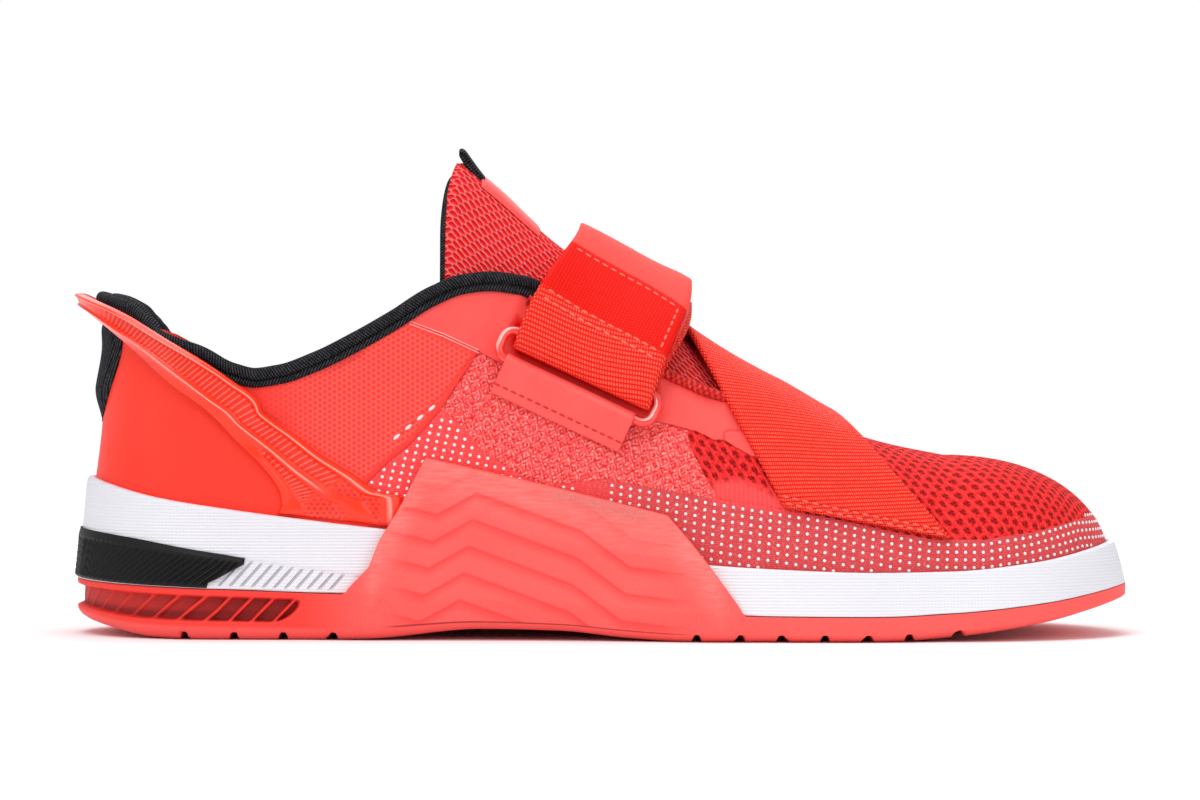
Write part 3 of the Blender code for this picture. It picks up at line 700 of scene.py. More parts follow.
@dataclass
class Finish:
    """Procedural material under construction.

    Attributes:
        name: Name of the real material.
        rough: Roughness of the surface.
        sheen: Strength of the soft edge light of fibres.
        coat: Strength of a clear glossy layer.
        ior: Index of refraction.
    """

    name: str
    rough: float = 0.6
    sheen: float = 0.0
    coat: float = 0.0
    ior: float = 1.5
    material: bpy.types.Material = field(init=False)

    def __post_init__(self) -> None:
        """Start the node tree with one shader and its plain numbers."""
        self.material = bpy.data.materials.new(self.name)
        self.material.use_nodes = True
        self.tree = self.material.node_tree
        self.shader = self.tree.nodes["Principled BSDF"]
        self.shader.inputs["Roughness"].default_value = self.rough
        self.shader.inputs["IOR"].default_value = self.ior
        self.shader.inputs["Coat Weight"].default_value = self.coat
        self.shader.inputs["Coat Roughness"].default_value = 0.08
        self.shader.inputs["Sheen Weight"].default_value = self.sheen
        self.shader.inputs["Sheen Roughness"].default_value = 0.45

    def add(self, kind: str, *values: object, out: str | None = None, **settings: object) -> Socket:
        """Add a node with its settings and links.

        Args:
            kind: Node type without its ShaderNode prefix.
            values: Sockets or values for the inputs in order; None leaves one as it is.
            out: Name of the output to give back, the first one if left out.
            settings: Properties of the node, or inputs by name with _ for a space.

        Returns:
            The chosen output socket.
        """
        node = self.tree.nodes.new("ShaderNode" + kind)
        named = {key: value for key, value in settings.items() if not hasattr(node, key)}
        for key in [k for k in settings if k not in named]:
            setattr(node, key, settings[key])
        ready = [socket for socket in node.inputs if socket.enabled]
        pairs = [(socket, value) for socket, value in zip(ready, values) if value is not None]
        for key, value in named.items():
            pairs.append((next(s for s in ready if s.name == key.replace("_", " ")), value))
        for socket, value in pairs:
            if isinstance(value, Socket):
                self.tree.links.new(value, socket)
            else:
                socket.default_value = value
        return next(s for s in node.outputs if s.enabled) if out is None else node.outputs[out]

    def math(self, operation: str, *values: object, **settings: object) -> Socket:
        """Add a calculation on sockets or numbers, by the name of its operation."""
        return self.add("Math", *values, operation=operation, **settings)

    def blend(self, share: object, low: object, high: object, **settings: object) -> Socket:
        """Add a colour part of the way from low to high, each a socket, a colour or six hex digits."""
        ends = [linear(end) if isinstance(end, str) else end for end in (low, high)]
        return self.add("Mix", share, *ends, data_type="RGBA", **settings)

    def times(self, a: object, b: object) -> Socket:
        """Add a product."""
        return self.math("MULTIPLY", a, b)

    def scaled(self, value: object, by: object, plus: object) -> Socket:
        """Add a product and a sum: value times by, plus a last part."""
        return self.math("MULTIPLY_ADD", value, by, plus)

    def ramp(self, value: object, *bounds: float) -> Socket:
        """Add a straight ramp over two bounds, between the two results that follow them."""
        return self.add("MapRange", value, *bounds)

    def fade(self, value: object, *bounds: float) -> Socket:
        """Add a smooth step over two bounds, between the two results that follow them."""
        return self.add("MapRange", value, *bounds, interpolation_type="SMOOTHSTEP")

    def noise(self, place: Socket, scale: float, detail: float = 2.0, out: str | None = None) -> Socket:
        """Add a noise, its scale in lumps to the unit of the place."""
        return self.add("TexNoise", place, Scale=scale, Detail=detail, out=out)

    def note(self, name: str) -> Socket:
        """Add a number that the mesh keeps at each point."""
        return self.add("Attribute", attribute_name=name, out="Fac")

    def link(self, socket: Socket, name: str) -> None:
        """Link a socket to one of the shader's inputs."""
        self.tree.links.new(socket, self.shader.inputs[name])

    def paint(self, colour: Socket) -> None:
        """Link a colour to the shader."""
        self.link(colour, "Base Color")

    def cell(self, chart: Socket, across: float, up: float, shift: float = 0.5,
             turn: float = 0.0) -> tuple[Socket, Socket]:
        """Staggered cells on a chart in millimetres.

        Args:
            chart: Vector socket of the chart.
            across: Pitch of the cells along a row.
            up: Pitch of the rows.
            shift: How far each row is moved along, in cells.
            turn: Turn of the rows, in degrees.

        Returns:
            Place inside the cell along and across the row, each from -0.5 to 0.5.
        """
        flat = self.add("VectorRotate", chart, rotation_type="Z_AXIS", Angle=math.radians(turn))
        x = self.add("SeparateXYZ", flat)
        y = x.node.outputs[1]
        row = self.math("DIVIDE", y, up)
        number = self.math("FLOOR", row)
        moved = self.scaled(number, shift, self.math("DIVIDE", x, across))
        a = self.math("SUBTRACT", self.math("FRACT", moved), 0.5)
        b = self.math("SUBTRACT", self.math("FRACT", row), 0.5)
        return a, b

    def length(self, a: Socket, b: Socket, wide: float, tall: float) -> Socket:
        """Distance from a cell's middle with its two sides scaled.

        Args:
            a: Place along the row.
            b: Place across it.
            wide: Scale of the first.
            tall: Scale of the second.

        Returns:
            The distance.
        """
        vector = self.add("CombineXYZ", a, b)
        return self.add("VectorMath", self.add("VectorMath", vector, (wide, tall, 0.0), operation="MULTIPLY"),
                        operation="LENGTH", out="Value")

    def relief(self, height: Socket, deep: float, strength: float = 1.0) -> None:
        """Give the shader a relief from a height of 0 to 1 that stands deep millimetres tall."""
        self.link(self.add("Bump", Strength=strength, Distance=deep * MM, Height=height), "Normal")

    def dress(self, piece: Piece) -> None:
        """Put this finish on a piece."""
        piece.data.materials.append(self.material)


def panel_reach(x: Field, z: Field, corners: Corners) -> Field:
    """Signed distance to a panel's outline on the flank.

    Args:
        x: Places along the foot.
        z: Heights.
        corners: Corners of the outline in x and z, in order.

    Returns:
        Distance to the nearest edge in millimetres, positive inside the panel.
    """
    start = np.array(corners, float)
    edge = np.roll(start, -1, 0) - start
    x, z = x[..., None], z[..., None]
    run = ((x - start[:, 0]) * edge[:, 0] + (z - start[:, 1]) * edge[:, 1]) / (edge**2).sum(1)
    run = np.clip(run, 0, 1)
    far = np.hypot(x - start[:, 0] - run * edge[:, 0], z - start[:, 1] - run * edge[:, 1]).min(-1)
    crossed = (start[:, 1] > z) != (start[:, 1] + edge[:, 1] > z)
    meet = start[:, 0] + (z - start[:, 1]) / np.where(edge[:, 1] == 0, 1e-9, edge[:, 1]) * edge[:, 0]
    within = (crossed & (x < meet)).sum(-1) % 2 == 1
    return np.where(within, far, -far)


class KnitAndFilm(Finish):
    """Engineered knit with heat-pressed films: an open lattice on the vamp, tufted knit on the flank, satin
    films with an embossed honeycomb at the quarter, a darker film under the printed dots, a painted shadow
    under the instep strap, and a painted shadow line outside the eyestay and quarter films."""

    def __init__(self) -> None:
        """Build the finish; each panel covers the ones before it."""
        super().__init__("knit_and_pressed_film", sheen=0.0, ior=1.22)
        self.place = self.add("TexCoord", out="Object")
        self.flank = self.add("UVMap", uv_map="flank")
        colour, high, rough = self.lattice()
        panels = {
            "knit": self.tufts(), "dotted": self.print_film(), "strip": self.fused_strip(),
            "eyestay": self.smooth_film("FC524E", "FF5E59"), "quarter": self.honeycomb(),
            # The last panel is a painted shadow under the instep strap, inside the ring.
            "counter": self.heel_film(), "recess": self.smooth_film("D40206", "E60A0C"),
        }
        for zone, (paint, tall, gloss) in panels.items():
            soft = {"strip": 1.4, "recess": 1.0}.get(zone, 0.12)
            reach = self.note(zone)
            if zone in ("eyestay", "quarter"):
                shade = self.ramp(reach, -0.6, -0.05, 0, 0.7)
                colour = self.blend(shade, colour, "B4080E")
            mask = self.ramp(reach, -soft, soft, 0, 1)
            colour = self.blend(mask, colour, paint)
            high = self.add("Mix", mask, high, tall)
            rough = self.add("Mix", mask, rough, gloss)
        welt = self.ramp(self.note("welt"), 0.15, 0.55, 1, 0)
        colour = self.blend(self.times(welt, 0.6), colour, "E62E2C")
        high = self.scaled(welt, -0.18, high)
        self.paint(colour)
        self.link(rough, "Roughness")
        self.relief(high, 1.0)

    def lattice(self) -> tuple[Socket, Socket, float]:
        """Lace knit: bright slanted wales 2.7 mm apart, between them eyelets split into small dark gaps.

        Returns:
            Sockets of the colour and the height, and the roughness.
        """
        sway = self.noise(self.place, 240, 1, out="Color")
        vamp = self.add("VectorMath", sway, (1.0, 1.0, 0.0), self.add("UVMap", uv_map="vamp"),
                        operation="MULTIPLY_ADD")
        a, b = self.cell(vamp, 3.5, 2.7, 0.5, 50.0)
        near = self.ramp(self.length(a, b, 1.75, 2.1), 0.38, 0.72, 1, 0)
        lobes = self.math("COSINE", self.times(self.math("ARCTAN2", b, a), 3))
        gap = self.times(near, self.ramp(lobes, -0.75, -0.1, 0.25, 1))
        wale = self.ramp(self.math("ABSOLUTE", b), 0.30, 0.5, 0, 1)
        fibre = self.noise(self.place, 1300, 3)
        # Painted highlight along the wales over a random fibre tone, and painted shade round the eyelets.
        lit = self.math("ADD", self.ramp(fibre, 0.35, 0.72, 0, 0.8), self.times(wale, 0.45), use_clamp=True)
        strand = self.blend(lit, "E2141A", "FC423E")
        strand = self.blend(self.times(near, 0.5), strand, "D00E16")
        colour = self.blend(gap, strand, "960A0C")
        high = self.math("ADD", self.scaled(wale, 0.3, 0.55), self.times(gap, -0.6))
        return colour, self.scaled(fibre, 0.25, high), 0.72

    def tufts(self) -> tuple[Socket, Socket, float]:
        """Tufted knit: clumps of curled yarn about 2.9 mm apart that lean to and fro, with pale glints.

        Returns:
            Sockets of the colour and the height, and the roughness.
        """
        bend = self.noise(self.place, 520, 2, out="Color")
        chart = self.add("VectorMath", bend, (2.0, 2.0, 0.0), self.flank, operation="MULTIPLY_ADD")
        a, b = self.cell(chart, 3.0, 2.7, 0.5, 24.0)
        clump = self.ramp(self.length(a, b, 1.9, 1.9), 0.25, 1.05, 1, 0)
        lean = []
        for turn in (62.0, -18.0):
            run = self.add("SeparateXYZ", self.add("VectorRotate", chart, rotation_type="Z_AXIS",
                                                   Angle=math.radians(turn)))
            lean.append(self.math("SINE", self.times(run, 2 * math.pi / 1.05)))
        yarn = self.add("Mix", self.ramp(a, -0.08, 0.08, 0, 1), *lean)
        yarn = self.ramp(yarn, -0.9, 0.9, 0, 1)
        glint = self.ramp(self.noise(self.place, 1250, 3), 0.47, 0.66, 0, 1)
        # Painted shade between the clumps, painted highlight on the yarn strands, and painted glints.
        body = self.blend(clump, "E8121C", "FF5450")
        body = self.blend(self.times(yarn, 0.6), body, "FF7672")
        lit = self.times(glint, self.scaled(yarn, 0.7, 0.1))
        colour = self.blend(lit, body, "FFB2AE")
        high = self.scaled(yarn, 0.2, self.scaled(clump, 0.25, 0.4))
        return colour, high, 0.7

    def print_film(self) -> tuple[Socket, Socket, float]:
        """Film pressed over the knit, so that its fine courses, 0.55 mm apart, still show under the dots.

        Returns:
            Sockets of the colour and the height, and the roughness.
        """
        a, b = self.cell(self.flank, 1.1, 0.55, 0.5, 0.0)
        thread = self.ramp(self.length(a, b, 1.5, 2.0), 0.2, 1, 1, 0)
        spot = self.ramp(self.noise(self.place, 1700, 3), 0.5, 0.75, 0, 1)
        body = self.blend(thread, "C93C42", "DE4F50")
        rear = self.fade(self.add("SeparateXYZ", self.place), -0.020, 0.022, 1, 0)
        body = self.blend(rear, body, self.blend(thread, "F23A3E", "FF5452"))
        colour = self.blend(self.times(spot, 0.5), body, "F08884")
        return colour, self.scaled(thread, 0.08, 0.82), 0.5

    def fused_strip(self) -> tuple[Socket, Socket, float]:
        """Strip of knit melted smooth, with faint upright ribs 1.3 mm apart.

        Returns:
            Sockets of the colour and the height, and the roughness.
        """
        x = self.add("SeparateXYZ", self.flank)
        rib = self.ramp(self.math("SINE", self.times(x, 4.8)), -1, 1, 0, 1)
        grain = self.noise(self.place, 900, 3)
        colour = self.blend(self.times(rib, grain), "F44648", "FC5C5A")
        return colour, self.scaled(rib, 0.03, 0.74), 0.6

    def smooth_film(self, dark: str, light: str) -> tuple[Socket, Socket, float]:
        """Smooth satin film with a barely uneven lie over the knit below.

        Args:
            dark: Its darker tone.
            light: Its lighter tone.

        Returns:
            Sockets of the colour and the height, and the roughness.
        """
        lie = self.noise(self.place, 170, 3)
        colour = self.blend(lie, dark, light)
        return colour, self.scaled(lie, 0.10, 0.90), 0.42

    def honeycomb(self) -> tuple[Socket, Socket, float]:
        """Film embossed with a honeycomb, 1.6 mm apart with paler walls, that fades out towards the heel.

        Returns:
            Sockets of the colour and the height, and the roughness.
        """
        a, b = self.cell(self.flank, 1.6, 1.386, 0.5, 90.0)
        wall = self.ramp(self.length(a, b, 1.6, 1.386), 0.46, 0.64, 0, 1)
        wall = self.times(wall, self.note("emboss"))
        colour = self.blend(wall, "FB3F36", "FF5A53")
        return colour, self.scaled(wall, 0.07, 0.90), 0.4

    def heel_film(self) -> tuple[Socket, Socket, float]:
        """Thicker film over the heel cup with a very faint small emboss, 1.3 mm apart.

        Returns:
            Sockets of the colour and the height, and the roughness.
        """
        a, b = self.cell(self.flank, 1.3, 1.13, 0.5, 0.0)
        pit = self.ramp(self.length(a, b, 1.3, 1.13), 0.25, 0.5, 1, 0)
        cloud = self.noise(self.place, 32, 2)
        colour = self.blend(cloud, "FF3A2C", "FF483A")
        return colour, self.scaled(pit, -0.025, 0.98), 0.36


class LiningCloth(Finish):
    """Black brushed lining cloth: deep and dull, with a soft pile that catches a little light."""

    def __init__(self, name: str = "brushed_lining") -> None:
        """Build the finish.

        Args:
            name: Name of the cloth.
        """
        super().__init__(name, rough=0.9, sheen=0.12)
        place = self.add("TexCoord", out="Object")
        pile = self.noise(place, 1500, 4)
        self.paint(self.blend(pile, "0C0C0E", "2A2A2D"))
        self.relief(pile, 0.3)


@dataclass
class Upper:
    """The upper's hollow wall with its pressed panels, folds and welts.

    Attributes:
        wall: Thickness of the wall.
        rows: Rows of faces from the sole to the top edge.
        pitch: Spacing of its columns round the foot.
        panels: Outline of each panel on the flank, by name; a later one lies over an earlier one.
        step: How far a panel stands proud of the knit, by name.
        folds: Soft creases of the inner flank: places in x and z, width, and depth, below zero for a ridge.
        welts: Fine pressed lines in x and z.
    """

    wall: float = 2.0
    rows: int = 78
    pitch: float = 1.15
    panels: dict[str, tuple[tuple[float, float], ...]] = field(default_factory=lambda: {
        "knit": ((60, 0), (60, 60), (112, 84), (171, 62), (172, 55), (175.5, 48), (179, 42), (181, 36),
                 (183, 20), (183, 0)),
        "dotted": ((93, 55.7), (101.4, 65.6), (106.3, 61.6), (112.9, 53.9), (121.7, 48), (130.5, 43.6),
                   (148, 45.6), (165, 42.6), (181, 39.8), (196.5, 37.4), (209.7, 35.4), (222.9, 32.6),
                   (231.7, 30.6), (240.9, 28.8), (255, 28.6), (270, 30.6), (285, 34), (300, 38), (300, 0),
                   (77.7, 0), (77.7, 44.4), (86.5, 52.4)),
        "strip": ((178.0, 44.6), (186.0, 45.6), (193.0, 43.0), (199, 39.6), (203, 36.0), (185, 38.5),
                  (179, 39.6)),
        "eyestay": ((88, 91), (88, 130), (178, 130), (193, 71), (191, 51.3), (186, 54), (181.5, 56.6),
                    (179, 56.4), (174.5, 58.7), (164.6, 61.2), (156.9, 63.4), (143.7, 68.2), (130.5, 73),
                    (119.5, 77.4), (112, 81.4)),
        "quarter": ((-10, 130), (1.5, 99), (17, 87.5), (33, 77.5), (46, 66), (57, 54.5), (72, 45), (78, 38),
                    (80, 44), (86.5, 50.4), (93, 55.7), (96.5, 59.6), (101.6, 65.5), (112.2, 81.4),
                    (92.6, 89.8), (88, 95), (88, 130)),
        "counter": ((-20, 130), (1.5, 99), (17, 87.5), (33, 77.5), (46, 66), (57, 54.5), (72, 45), (80, 38),
                    (84, 0), (-20, 0)),
        # Painted shadow under the instep strap, inside the ring.
        "recess": ((121, 87.5), (122, 80.5), (160, 63.5), (163.5, 66.5), (163, 73), (123, 91)),
    })
    step: dict[str, float] = field(default_factory=lambda: {
        "knit": 0.15, "dotted": 0.1, "strip": 0.1, "eyestay": 0.35, "quarter": 0.5, "counter": 0.45,
        "recess": 0.35,
    })
    folds: tuple[tuple[tuple[tuple[float, float], ...], float, float], ...] = (
        (((67, 72.6), (71.5, 76.4), (76.5, 80)), 3.4, 0.9),
        (((53.7, 66), (63, 70.4), (77, 75.2)), 3, -0.45),
        (((54, 60), (66, 65.4), (80, 69.4), (92, 70)), 4.6, 0.7),
        (((124, 97), (121.4, 91), (119.6, 85)), 2, -0.5),
        (((128.6, 97.5), (125.6, 90), (124.2, 83)), 2.8, 0.5),
        (((176, 70), (180.5, 65), (185.5, 61.5)), 3.2, 0.5),
        (((22, 66), (25, 54), (34, 43)), 6, 0.5),
    )
    welts: tuple[tuple[tuple[float, float], ...], ...] = (
        ((111.6, 81), (102, 69.3), (96, 63.2), (88.6, 56.8)),
        ((187.5, 59.3), (183.2, 59.1), (182, 58.4), (181.6, 56.9), (182.2, 55.6)),
    )

    def columns(self) -> tuple[Field, Field]:
        """Places and sides round the foot: heel, inner flank, toe, outer flank, and back to the heel.

        Returns:
            The places and the sides.
        """
        count = round(LAST.u_tip / self.pitch)
        half = np.linspace(0, LAST.u_tip, count + 1)
        return np.concatenate((half, half[-2::-1])), np.concatenate((-np.ones(count + 1), np.ones(count)))

    def flatten(self, u: Field, side: Field, angle: Field) -> tuple[Field, Field]:
        """Charts of the wall.

        Args:
            u: Edge place of each column.
            side: Side of each column.
            angle: Angle on the last, rows by columns.

        Returns:
            The flank chart, distance round the foot and up the wall, and the vamp chart, laid out flat
            from the ridge.
        """
        fine = np.linspace(0, QUARTER, 121)
        curve = LAST.skin(u[None], side[None], fine[:, None])
        steps = np.linalg.norm(np.diff(curve, axis=0), axis=-1)
        arc = np.concatenate((np.zeros((1, len(u))), np.cumsum(steps, axis=0)))
        up = np.stack([np.interp(angle[:, i], fine, arc[:, i]) for i in range(len(u))], 1)
        down = arc[-1][None] - up
        around = np.where(side < 0, u, 2 * LAST.u_tip - u)
        around[-1] = 2 * LAST.u_tip
        flank = np.stack(np.broadcast_arrays(around[None], up), -1)
        turn = np.clip(QUARTER * (u - LAST.u_toe) / LAST.toe_arc, 0, QUARTER)[None]
        x = np.clip(LAST.heel_centre + u - LAST.heel_arc, 0, LAST.toe_centre)[None]
        vamp = np.stack((x + down * np.sin(turn), down * np.cos(turn) * side[None]), -1)
        return flank, vamp

    @staticmethod
    def from_line(points: Field, line: Corners) -> Field:
        """Distance of points on the flank from a line through places in x and z."""
        return -panel_reach(points[..., 0], points[..., 2], tuple(line) + tuple(line[-2:0:-1]))

    def build(self) -> None:
        """Make the wall, with its finish outside and its lining inside."""
        u, side = self.columns()
        x = LAST.along(u)
        top = np.where(x >= LAST.throat_end, QUARTER, LAST.angle_at(u, LAST.wall_top(u, side)))
        angle = top[None] * np.linspace(0, 1, self.rows)[:, None]
        bare = LAST.skin(u[None], side[None], angle)
        notes = {name: panel_reach(bare[..., 0], bare[..., 2], outline)
                 for name, outline in self.panels.items()}
        # The painted shadow under the strap is only on the inner flank.
        notes["recess"] = np.where(side[None] < 0, notes["recess"], -9.0)
        notes["emboss"] = ease(bare[..., 0], 44, 70) * ease(notes["quarter"], 0.7, 1.9)
        notes["welt"] = np.min([self.from_line(bare, line) for line in self.welts], axis=0)
        grow = np.zeros_like(angle)
        for name, step in self.step.items():
            grow = mix(grow, step, ease(notes[name], -0.7, 0.7))
        for line, wide, deep in self.folds:
            grow = grow - deep * bump(self.from_line(bare, line), 0, wide) * (side[None] < 0)
        grow *= (ease(angle / np.maximum(top[None], 1e-6), -0.02, 0.06)
                 * ease(1 - angle / QUARTER, -0.01, 0.08))
        flank, vamp = self.flatten(u, side, angle)
        points = LAST.skin(u[None], side[None], angle, grow)
        piece = Mould.grid("upper_wall", points, {"flank": flank, "vamp": vamp}, notes, (140.0, 0.0, 40.0),
                           weld=True)
        KnitAndFilm().dress(piece)
        LiningCloth().dress(piece)
        Mould.thicken(piece, self.wall, lining=1, rim=1)
        Shoe.keep(piece, "upper", "upper")


class FoamSkin(Finish):
    """White moulded EVA foam: satin skin with fine moulded lines 0.9 mm apart, and slanted ribs, 3.25 mm
    apart, with painted cool grey shade in their grooves where the piece is marked for them."""

    rib: float = 3.25

    def __init__(self) -> None:
        """Build the finish."""
        super().__init__("moulded_foam", rough=0.5)
        place = self.add("TexCoord", out="Object")
        along = self.add("SeparateXYZ", self.add("UVMap", uv_map="flank"))
        line, tick = (self.ramp(self.math("SINE", self.times(way, 7)), -1, 1, 0, 1)
                      for way in (along.node.outputs[1], along))
        grain = self.noise(place, 1400, 3)
        cloud = self.noise(place, 26, 2)
        tone = self.blend(cloud, "DCDCE3", "EAEAEF")
        weave = self.times(line, tick)
        colour = self.blend(self.times(weave, 0.4), tone, "D6D6DF")
        slant = (1000.0 / self.rib, 0.0, -900.0 / self.rib)
        run = self.add("VectorMath", place, slant, operation="DOT_PRODUCT", out="Value")
        wave = self.math("ABSOLUTE", self.math("SUBTRACT", self.math("FRACT", run), 0.5))
        dip = self.times(self.fade(wave, 0.02, 0.19, 1, 0), self.note("groove"))
        # Painted cool grey shade in the rib grooves.
        self.paint(self.blend(dip, colour, "BCBEC9"))
        skin = self.scaled(line, 0.08, self.times(grain, 0.05))
        self.relief(self.scaled(dip, -0.6, skin), 1.0)


class MouldedRubber(Finish):
    """Matte pink-red moulded rubber: fine sparkle-eroded grain, a greyish scuff, streaks and painted light
    along the guard's top, and painted shade in the gills and along the guard's terraces.
    """

    def __init__(self) -> None:
        """Build the finish."""
        super().__init__("moulded_rubber", rough=0.6, ior=1.4)
        place = self.add("TexCoord", out="Object")
        grain = self.noise(place, 2300, 3)
        drift = self.noise(place, 60, 3)
        body = self.blend(drift, "F74E49", "FD5B56")
        body = self.blend(self.ramp(grain, 0.35, 0.7, 0, 0.3), body, "FF7670")
        scuff = self.times(self.note("scuff"), self.ramp(self.noise(place, 1700, 4), 0.34, 0.68, 0.2, 0.62))
        # Painted light near the guard's top, broken up into streaks.
        streak = self.noise(self.add("VectorMath", place, (0.14, 0.14, 1.0), operation="MULTIPLY"), 1500, 3)
        dust = self.times(self.note("dust"), self.ramp(streak, 0.35, 0.65, 0.35, 1))
        body = self.blend(dust, body, "F87A74")
        body = self.blend(scuff, body, "B4706A")
        heel = self.note("lip")
        body = self.blend(heel, body, "F53A30")
        # Painted shade in the gills.
        hollow = self.note("hollow")
        body = self.blend(hollow, body, "820000")
        crease, step = self.steps()
        # Painted shade along the guard's terrace creases.
        self.paint(self.blend(crease, body, "F03030"))
        self.link(self.ramp(grain, 0.3, 0.7, 0.5, 0.68), "Roughness")
        self.relief(self.scaled(grain, 0.06, step), 1.0)

    def steps(self) -> tuple[Socket, Socket]:
        """Crease shade and height of the guard's terraces, each sunk under a stepped line.

        Returns:
            The shade and the height.
        """
        count = self.note("terrace")
        rise = self.math("FRACT", count)
        sunk = self.fade(rise, 0, 0.15, 0, 1)
        back = self.fade(rise, 0.15, 0.85, 1, 0)
        deep = self.ramp(count, -0.02, 0.02, 0.15, 0.36)
        deep = self.times(deep, self.ramp(count, -1.02, -0.98, 0, 1))
        deep = self.times(deep, self.note("face"))
        step = self.times(self.times(sunk, back), deep)
        narrow = self.ramp(self.math("SUBTRACT", rise, 0.07), 0, 0.40, 1.9, 0)
        crease = self.times(self.times(narrow, sunk), deep)
        return crease, self.times(step, -1)


class BlackPlastic(Finish):
    """Black moulded plastic with a satin face; the highlights along its ribs come from the mesh."""

    def __init__(self) -> None:
        """Build the finish."""
        super().__init__("black_moulded_plastic", rough=0.46, ior=1.32)
        place = self.add("TexCoord", out="Object")
        grain = self.noise(place, 1800, 3)
        self.paint(self.blend(grain, "050506", "131315"))
        self.relief(grain, 0.08)


